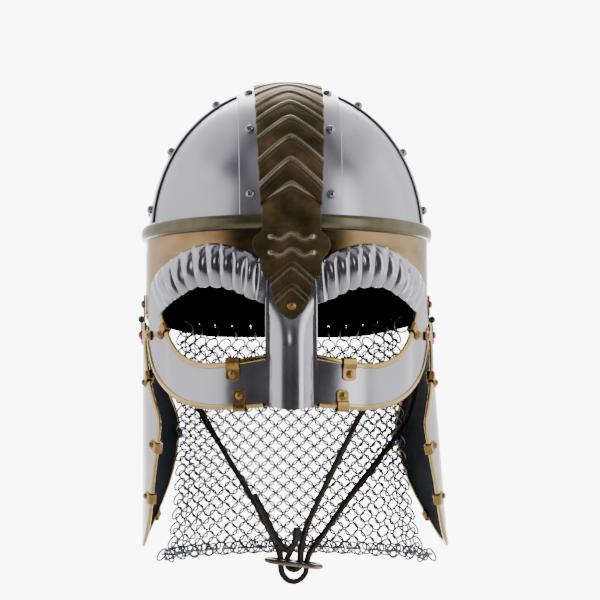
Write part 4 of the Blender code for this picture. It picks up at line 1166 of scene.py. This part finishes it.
def make_crest():
    """The cast strip: its tip on the wall, a step over the bead, and the chevrons over the crown."""
    bead = BROW_OUTER + BEAD_PROUD + 2 * TOUCH_GAP
    last_turn = CHEVRON_FIRST + CHEVRON_PITCH * (CHEVRON_COUNT - 1)
    columns = [i / 24 - 1 for i in range(49)]
    lines = []
    drop = TIP_OUTLINE[-1][0]
    while drop > 0:
        lines.append(("wall", drop))
        drop -= 0.55
    for height in (0.0, BEAD_HEIGHT * 0.25, BEAD_HEIGHT * 0.5, CREST_BEAD_TOP):
        lines.append(("bead", -height))
    lines.append(("ramp", -CREST_RAMP_TOP))
    turn = CHEVRON_FIRST - CHEVRON_PITCH * 0.36
    while turn < last_turn + CHEVRON_PITCH * 0.34:
        lines.append(("dome", turn))
        turn += CHEVRON_PITCH / 22
    lines.append(("nape", CREST_NAPE))

    def place(u, number, out):
        kind, at = lines[int(number)]
        if kind in ("dome", "nape"):
            half = crest_half(at)
            fade = 0.0
            if kind == "dome":
                half *= 1 - 0.011 * (1 - math.cos(2 * math.pi * (at - CHEVRON_FIRST) / CHEVRON_PITCH))
                fade = min((at - CHEVRON_FOOT) / (CHEVRON_PITCH * CHEVRON_FADE), 1)
            soft = (math.sqrt(u * u + 0.012) - math.sqrt(0.012)) / 0.896
            return over(u * half, at - CHEVRON_SLANT * fade * soft, RIDGE_OUTER + LAYER_GAP + out)
        half = half_at(at) if kind == "wall" else CREST_HALF_WIDTH * CREST_WAIST
        turn = math.degrees(math.asin(u * half / (SKULL_HALF_WIDTH + bead)))
        unders = {"bead": bead, "ramp": (bead + RIDGE_OUTER + LAYER_GAP) / 2}
        return wall(turn, at, unders.get(kind, crest_under(turn, at)) + out)

    wear = []

    def gauge(u, number):
        kind, at = lines[int(number)]
        rise = 0.0
        pale = 0.0
        if kind == "dome":
            phase = (at - CHEVRON_FIRST) / CHEVRON_PITCH
            near = phase - round(phase)
            low = phase + 0.24 - round(phase + 0.24)
            swelling = 0.5 * math.sin(math.pi * (phase % 1)) ** 2
            rise = max(ridge(near, 0.13, CHEVRON_PROUD), ridge(low, 0.07, 0.35), swelling)
            pale = ridge(near, 0.15, 1.0) + ridge(low, 0.06, 0.25)
        elif kind == "wall":
            rise = tip_relief(u * half_at(at), at)
            pale = max(0.0, (rise - 0.9) / 0.8)
        if abs(u) > 0.96:
            pale = max(pale, 0.4)
        wear.append(min(1.0, pale))
        return CREST_PLATE + rise

    parts = Parts()
    parts.sheet(place, [[(u, float(n), 0.0) for u in columns] for n in range(len(lines))], gauge)
    fields = {"wear": [0.0] * len(wear) + wear}
    obj = finish_mesh("crest_casting", parts, [BRONZE, BRONZE], angle=60, fields=fields)
    ride_along(obj, "helmet", "crest")
    at = CREST_RIVET_DROP
    slope = (crest_under(0, at + 1) - crest_under(0, at - 1)) / 2
    seat = wall(0, at, crest_under(0, at) + CREST_PLATE)
    normal = Vector((0, -1, slope)).normalized()
    parts = Parts()
    for rise, radius, height in CREST_RIVET_HEADS:
        parts.dome(seat + normal * rise, normal, radius, height, sides=28)
    show("head", "crest_rivet", "brass", parts, [CLIP_BRASS], angle=30)


# Cheek plates and hinges


def make_cheek(hand, sign, flare):
    """A hinged cheek plate with its channel, five straps and both hinge leaves."""
    body = f"cheek_{hand}"
    axis = Vector((sign * (SKULL_HALF_WIDTH + HINGE_OUT), 0, EQUATOR - HINGE_DROP))
    swing = Matrix.Rotation(math.radians(-sign * flare), 4, "Y")
    turned = Matrix.Translation(axis) @ swing @ Matrix.Translation(-axis)
    grid = []
    fine = 4 * (len(CHEEK_SECTIONS) - 1)
    for k in range(fine + 1):
        share, front, rear = smooth(CHEEK_SECTIONS, k / fine)
        drop = CHEEK_TOP + CHEEK_LENGTH * share
        grid.append([(sign * (front + (rear - front) * i / 20), drop, MASK_INNER) for i in range(21)])
    parts = Parts()
    parts.sheet(wall, grid, PLATE)
    parts.points = [turned @ p for p in parts.points]
    show("sheet", f"cheek_plate_{hand}", "satin_steel", parts, [STEEL, GREY_PAINT], body)

    front_edge = [row[0][:2] for row in grid]
    rear_edge = [row[-1][:2] for row in grid][::-1]
    frames = edge_frames(front_edge + [grid[-1][10][:2]] + rear_edge, sign)
    show_edging(f"cheek_edging_{hand}", frames, body, turned)

    edges = (("front", 1, CHEEK_FRONT_CLIPS, sign), ("rear", 2, CHEEK_REAR_CLIPS, -sign))
    for edge, column, shares, into in edges:
        for number, share in enumerate(shares, 1):
            turn = row_at(CHEEK_SECTIONS, share)[column]
            change = math.radians(row_at(CHEEK_SECTIONS, share + 0.02)[column] - turn)
            slope = change * SKULL_HALF_LENGTH / (0.02 * CHEEK_LENGTH) * (-1 if edge == "front" else 1)
            name = f"cheek_clip_{edge}_{number}_{hand}"
            place = (sign * turn, CHEEK_TOP + CHEEK_LENGTH * share)
            make_clip(name, *place, (into, slope), SIDE_CLIP_WIDTH, CORNER_CLIP_REACH, body, turned)
    make_hinge(hand, sign, axis, turned, body)


def leaf_parts(sign, axis, inner, near, far, rivet, web, knuckles):
    """A hinge leaf with rounded far corners, its knuckles with their webs, and two rivets."""
    parts = Parts()
    faces = (inner, inner + sign * HINGE_PLATE)
    half = HINGE_HALF_WIDTH
    r = HINGE_CORNER if far > near else -HINGE_CORNER
    corner = [(math.cos(a), math.sin(a)) for a in [math.pi / 2 * i / 6 for i in range(7)]]
    outline = [(-half, near), (half, near)]
    outline += [(half - abs(r) * (1 - c), far - r * (1 - s)) for c, s in corner]
    outline += [(abs(r) * (1 - c) - half, far - r * (1 - s)) for c, s in corner[::-1]]
    parts.loft([[Vector((x, y, z)) for y, z in outline] for x in faces])
    for y0, y1 in knuckles:
        ends = (y0, y0 + 0.01, y1 - 0.01, y1)
        parts.tube([Vector((axis.x, y, axis.z)) for y in ends], KNUCKLE_RADIUS, 24)
        box = ((y0, web), (y1, web), (y1, axis.z), (y0, axis.z))
        parts.loft([[Vector((x, y, z)) for y, z in box] for x in faces])
    for y in (-half * 0.6, half * 0.6):
        seat = Vector((faces[1], y, rivet))
        parts.dome(seat, Vector((sign, 0, 0)), CLIP_RIVET_RADIUS + 0.2, CLIP_RIVET_HEIGHT + 0.4, sides=24)
    return parts


def make_hinge(hand, sign, axis, turned, body):
    z = axis.z
    gap = KNUCKLE_CUT + TOUCH_GAP
    last = HINGE_HALF_WIDTH - TOUCH_GAP
    low = z - KNUCKLE_RADIUS - TOUCH_GAP
    top = z - KNUCKLE_RADIUS * 0.3
    inner = sign * (SKULL_HALF_WIDTH + MASK_OUTER + TOUCH_GAP)
    spans = ((-last, -gap), (gap, last))
    rivet = low - HINGE_LEAF * 0.55
    parts = leaf_parts(sign, axis, inner, top - 2.6, low - HINGE_LEAF, rivet, top - 3.2, spans)
    parts.points = [turned @ p for p in parts.points]
    show("leaf", f"hinge_lower_{hand}", "brass", parts, [CLIP_BRASS], body, angle=40, rim=0.15)

    inner = sign * (SKULL_HALF_WIDTH + BROW_OUTER + TOUCH_GAP)
    high = z + KNUCKLE_RADIUS + 2 * TOUCH_GAP
    spans = ((-KNUCKLE_CUT, KNUCKLE_CUT),)
    rivet = high + HINGE_LEAF * 0.55
    parts = leaf_parts(sign, axis, inner, high, high + HINGE_LEAF, rivet, high + 0.5, spans)
    show("leaf", f"hinge_upper_{hand}", "brass", parts, [CLIP_BRASS], angle=40, rim=0.15)

    end = HINGE_HALF_WIDTH + 0.8
    parts = Parts()
    parts.tube([Vector((axis.x, y, z)) for y in (-end - 0.6, -end, end, end + 0.6)], PIN_RADIUS, 20)
    show("rod", f"hinge_pin_{hand}", "pin_steel", parts, [RIVET_STEEL], angle=40)


# Mail


def mail_out(turn, level):
    """The offset of the mail's middle from the wall, at a turn and a share of its drop."""
    across_share = (turn - MAIL_LEFT_TURN) / (MAIL_RIGHT_TURN - MAIL_LEFT_TURN)
    i = 14 * across_share
    middle = 1 - abs(2 * across_share - 1)
    rise = min(middle * 3, 1)
    out = MAIL_END_INSET * (rise * rise * (3 - 2 * rise) - 1)
    towards_left = max(1 - i / 5, 0)
    out += MAIL_FLARE * level * towards_left * towards_left * (3 - 2 * towards_left)
    out += MAIL_WAVE * level * math.sin(1.9 * i) * min(2 * middle, 1)
    return out + MAIL_THICK / 2


def spread(turn):
    """How far the woven edge stands out at either end, from 0 in the middle to 1."""
    at_left = max(1 - (turn - MAIL_LEFT_TURN) / MAIL_SPREAD_TURN, 0)
    at_right = max(1 - (MAIL_RIGHT_TURN - turn) / MAIL_SPREAD_TURN, 0)
    return at_left * (2 - at_left) + 0.7 * at_right * (2 - at_right)


def add_ring(parts, centre, right, up, radius=RING_RADIUS):
    path = [centre + right * (radius * math.cos(t)) + up * (radius * math.sin(t)) for t in circle(18)]
    parts.tube(path, RING_WIRE, 6, closed=True, steady=right.cross(up).normalized())


def make_mail():
    """Rows of rings that lean to and fro, each through four others, with a rolled hem."""
    fine, lengths = mail_arc(MAIL_THICK / 2, MAIL_ARC_STEPS)
    total = lengths[-1]
    columns = round((total - RING_RADIUS * 2) / RING_PITCH)
    margin = (total - columns * RING_PITCH) / 2
    rows = MAIL_ROWS + MAIL_ROLL_ROWS
    hem = brow_edge(180) - MAIL_TUCK + MAIL_LENGTH - MAIL_HEM_RISE
    upright = Vector((0, 0, 1))
    groups = [Parts() for _ in range(3)]

    def turn_at(s):
        k = min(max(bisect.bisect_right(lengths, s) - 1, 0), MAIL_ARC_STEPS - 1)
        return fine[k] + (fine[k + 1] - fine[k]) * (s - lengths[k]) / (lengths[k + 1] - lengths[k])

    for r in range(rows):
        odd = r % 2
        for c in range(columns + 1 - odd):
            s = margin + (c + 0.5 * odd) * RING_PITCH
            turn = turn_at(s)
            top = brow_edge(turn) + RING_FIRST
            low = hem + MAIL_HEM_SAG * (2 * s / total - 1) ** 2
            level = min(r / (MAIL_ROWS - 1), 1)
            drop = top + (low - top) * level
            out = mail_out(turn, level) + MAIL_SPREAD * max(2 * level - 1, 0) ** 2 * spread(turn)
            jitter = noise.noise(Vector((r * 1.7, c * 2.3, 0.5)))
            tilt = math.radians(RING_TILT + 5 * jitter) * (1 if odd else -1)
            rolled = max(0, r - MAIL_ROWS + 1)
            if rolled:
                a = rolled * ROLL_TURN
                drop += ROLL_DROP * math.sin(min(a, 2.6)) + 0.6 * rolled
                out += ROLL_OUT * (0.5 - math.cos(a)) + MAIL_ROLL_SPREAD * rolled * spread(turn)
                tilt += a * 0.9
            drop += 0.35 * noise.noise(Vector((c * 0.6, r * 0.5, 3.0)))
            outwards = wall_normal(turn)
            right = upright.cross(outwards).normalized()
            yaw = math.radians(5) * noise.noise(Vector((c * 1.1, r * 1.3, 9.0)))
            right = (right * math.cos(yaw) + outwards * math.sin(yaw)).normalized()
            up = upright * math.cos(tilt) + right.cross(upright).normalized() * math.sin(tilt)
            add_ring(groups[3 * r // rows], wall(turn, drop, out), right, up)
    for number, turn in enumerate(rim_turns()):
        outwards = wall_normal(turn)
        hole = wall(turn, brow_edge(turn) - RIM_HOLE_RISE, (BROW_INNER + BROW_OUTER) / 2)
        share = (turn - MAIL_LEFT_TURN) / (MAIL_RIGHT_TURN - MAIL_LEFT_TURN)
        s = lengths[min(MAIL_ARC_STEPS, round(share * MAIL_ARC_STEPS))]
        nearest = margin + round((s - margin) / RING_PITCH) * RING_PITCH
        lean = max(-0.5, min(0.5, (nearest - s) / 11))
        right = upright.cross(outwards).normalized()
        down = (right * lean - upright).normalized()
        sideways = (outwards + right * (0.35 if number % 2 else -0.25)).normalized()
        sideways = (sideways - down * sideways.dot(down)).normalized()
        add_ring(groups[0], hole + down * RIM_RING_RADIUS, sideways, -down, RIM_RING_RADIUS)
    for number, parts in enumerate(groups, 1):
        obj = finish_mesh(f"mail_rings_{number}", parts, [RING_STEEL], angle=80)
        ride_along(obj, "helmet", "aventail")


# Camera, light and floor


def add_object(name, data):
    obj = bpy.data.objects.new(name, data)
    bpy.context.scene.collection.objects.link(obj)
    return obj


def make_camera():
    camera = add_object("camera", bpy.data.cameras.new("camera"))
    camera.data.sensor_width = 36.0
    camera.data.lens = LENS
    camera.location = CAMERA_AT
    pitch = math.radians(CAMERA_PITCH)
    yaw = math.radians(CAMERA_YAW)
    look = Vector((math.sin(yaw) * math.cos(pitch), math.cos(yaw) * math.cos(pitch), math.sin(pitch)))
    camera.rotation_euler = look.to_track_quat("-Z", "Y").to_euler()
    bpy.context.scene.camera = camera


def area_light(name, at, target, wide, power, colour, tall):
    data = bpy.data.lights.new(name, "AREA")
    data.shape = "RECTANGLE"
    data.size = wide
    data.size_y = tall
    data.energy = power
    data.color = colour
    light = add_object(name, data)
    light.location = at
    light.rotation_euler = (Vector(target) - Vector(at)).to_track_quat("-Z", "Y").to_euler()


def make_studio():
    """A floor that curves up into a wall, glowing behind the helmet, and a dark world."""
    profile = [(FLOOR_NEAR, FLOOR_Z), (WALL_FOOT, FLOOR_Z)]
    for i in range(1, 13):
        a = math.pi / 2 * i / 12
        profile.append((WALL_FOOT + WALL_CURVE * math.sin(a), FLOOR_Z + WALL_CURVE * (1 - math.cos(a))))
    profile.append((WALL_FOOT + WALL_CURVE, WALL_TOP))
    columns = (-FLOOR_HALF, -WALL_HALF, WALL_HALF, FLOOR_HALF)
    points = [(x, y, z) for y, z in profile for x in columns]
    faces = []
    index = []
    for i in range(len(profile) - 1):
        for c in range(3):
            k = 4 * i + c
            faces.append((k, k + 1, k + 5, k + 4))
            index.append(0 if i == 0 else 1 if c == 1 else 2)
    mesh = bpy.data.meshes.new("floor")
    mesh.from_pydata(points, [], faces)
    for name, glow in (("floor_look", 0.0), ("wall_look", WALL_GLOW), ("side_wall_look", SIDE_GLOW)):
        made, tree, shader = new_material(name)
        inputs = {"Base Color": (0.7, 0.7, 0.71, 1), "Roughness": 0.9}
        feed(tree, shader, {**inputs, "Emission Color": (1, 1, 1, 1), "Emission Strength": glow})
        mesh.materials.append(made)
    mesh.polygons.foreach_set("material_index", index)
    mesh.shade_smooth()
    floor = add_object("floor", mesh)
    world = bpy.data.worlds.new("studio")
    world.use_nodes = True
    world.node_tree.nodes["Background"].inputs["Color"].default_value = (*WORLD_COLOUR, 1)
    world.node_tree.nodes["Background"].inputs["Strength"].default_value = 1.0
    bpy.context.scene.world = world
    for spec in LIGHTS:
        area_light(*spec)


make_camera()
make_lace("lace_long", LONG_LACE)
make_lace("lace_short", SHORT_LACE)
make_lace("lace_tail", TAIL_LACE)
make_studio()
make_crown_panels()
make_ridge_band()
make_side_bands()
make_brow_band()
make_eye_guard()
make_guard_trim()
make_crest()
make_cheek("left", 1, CHEEK_FLARE_LEFT)
make_cheek("right", -1, CHEEK_FLARE_RIGHT)
make_mail()
make_slide()
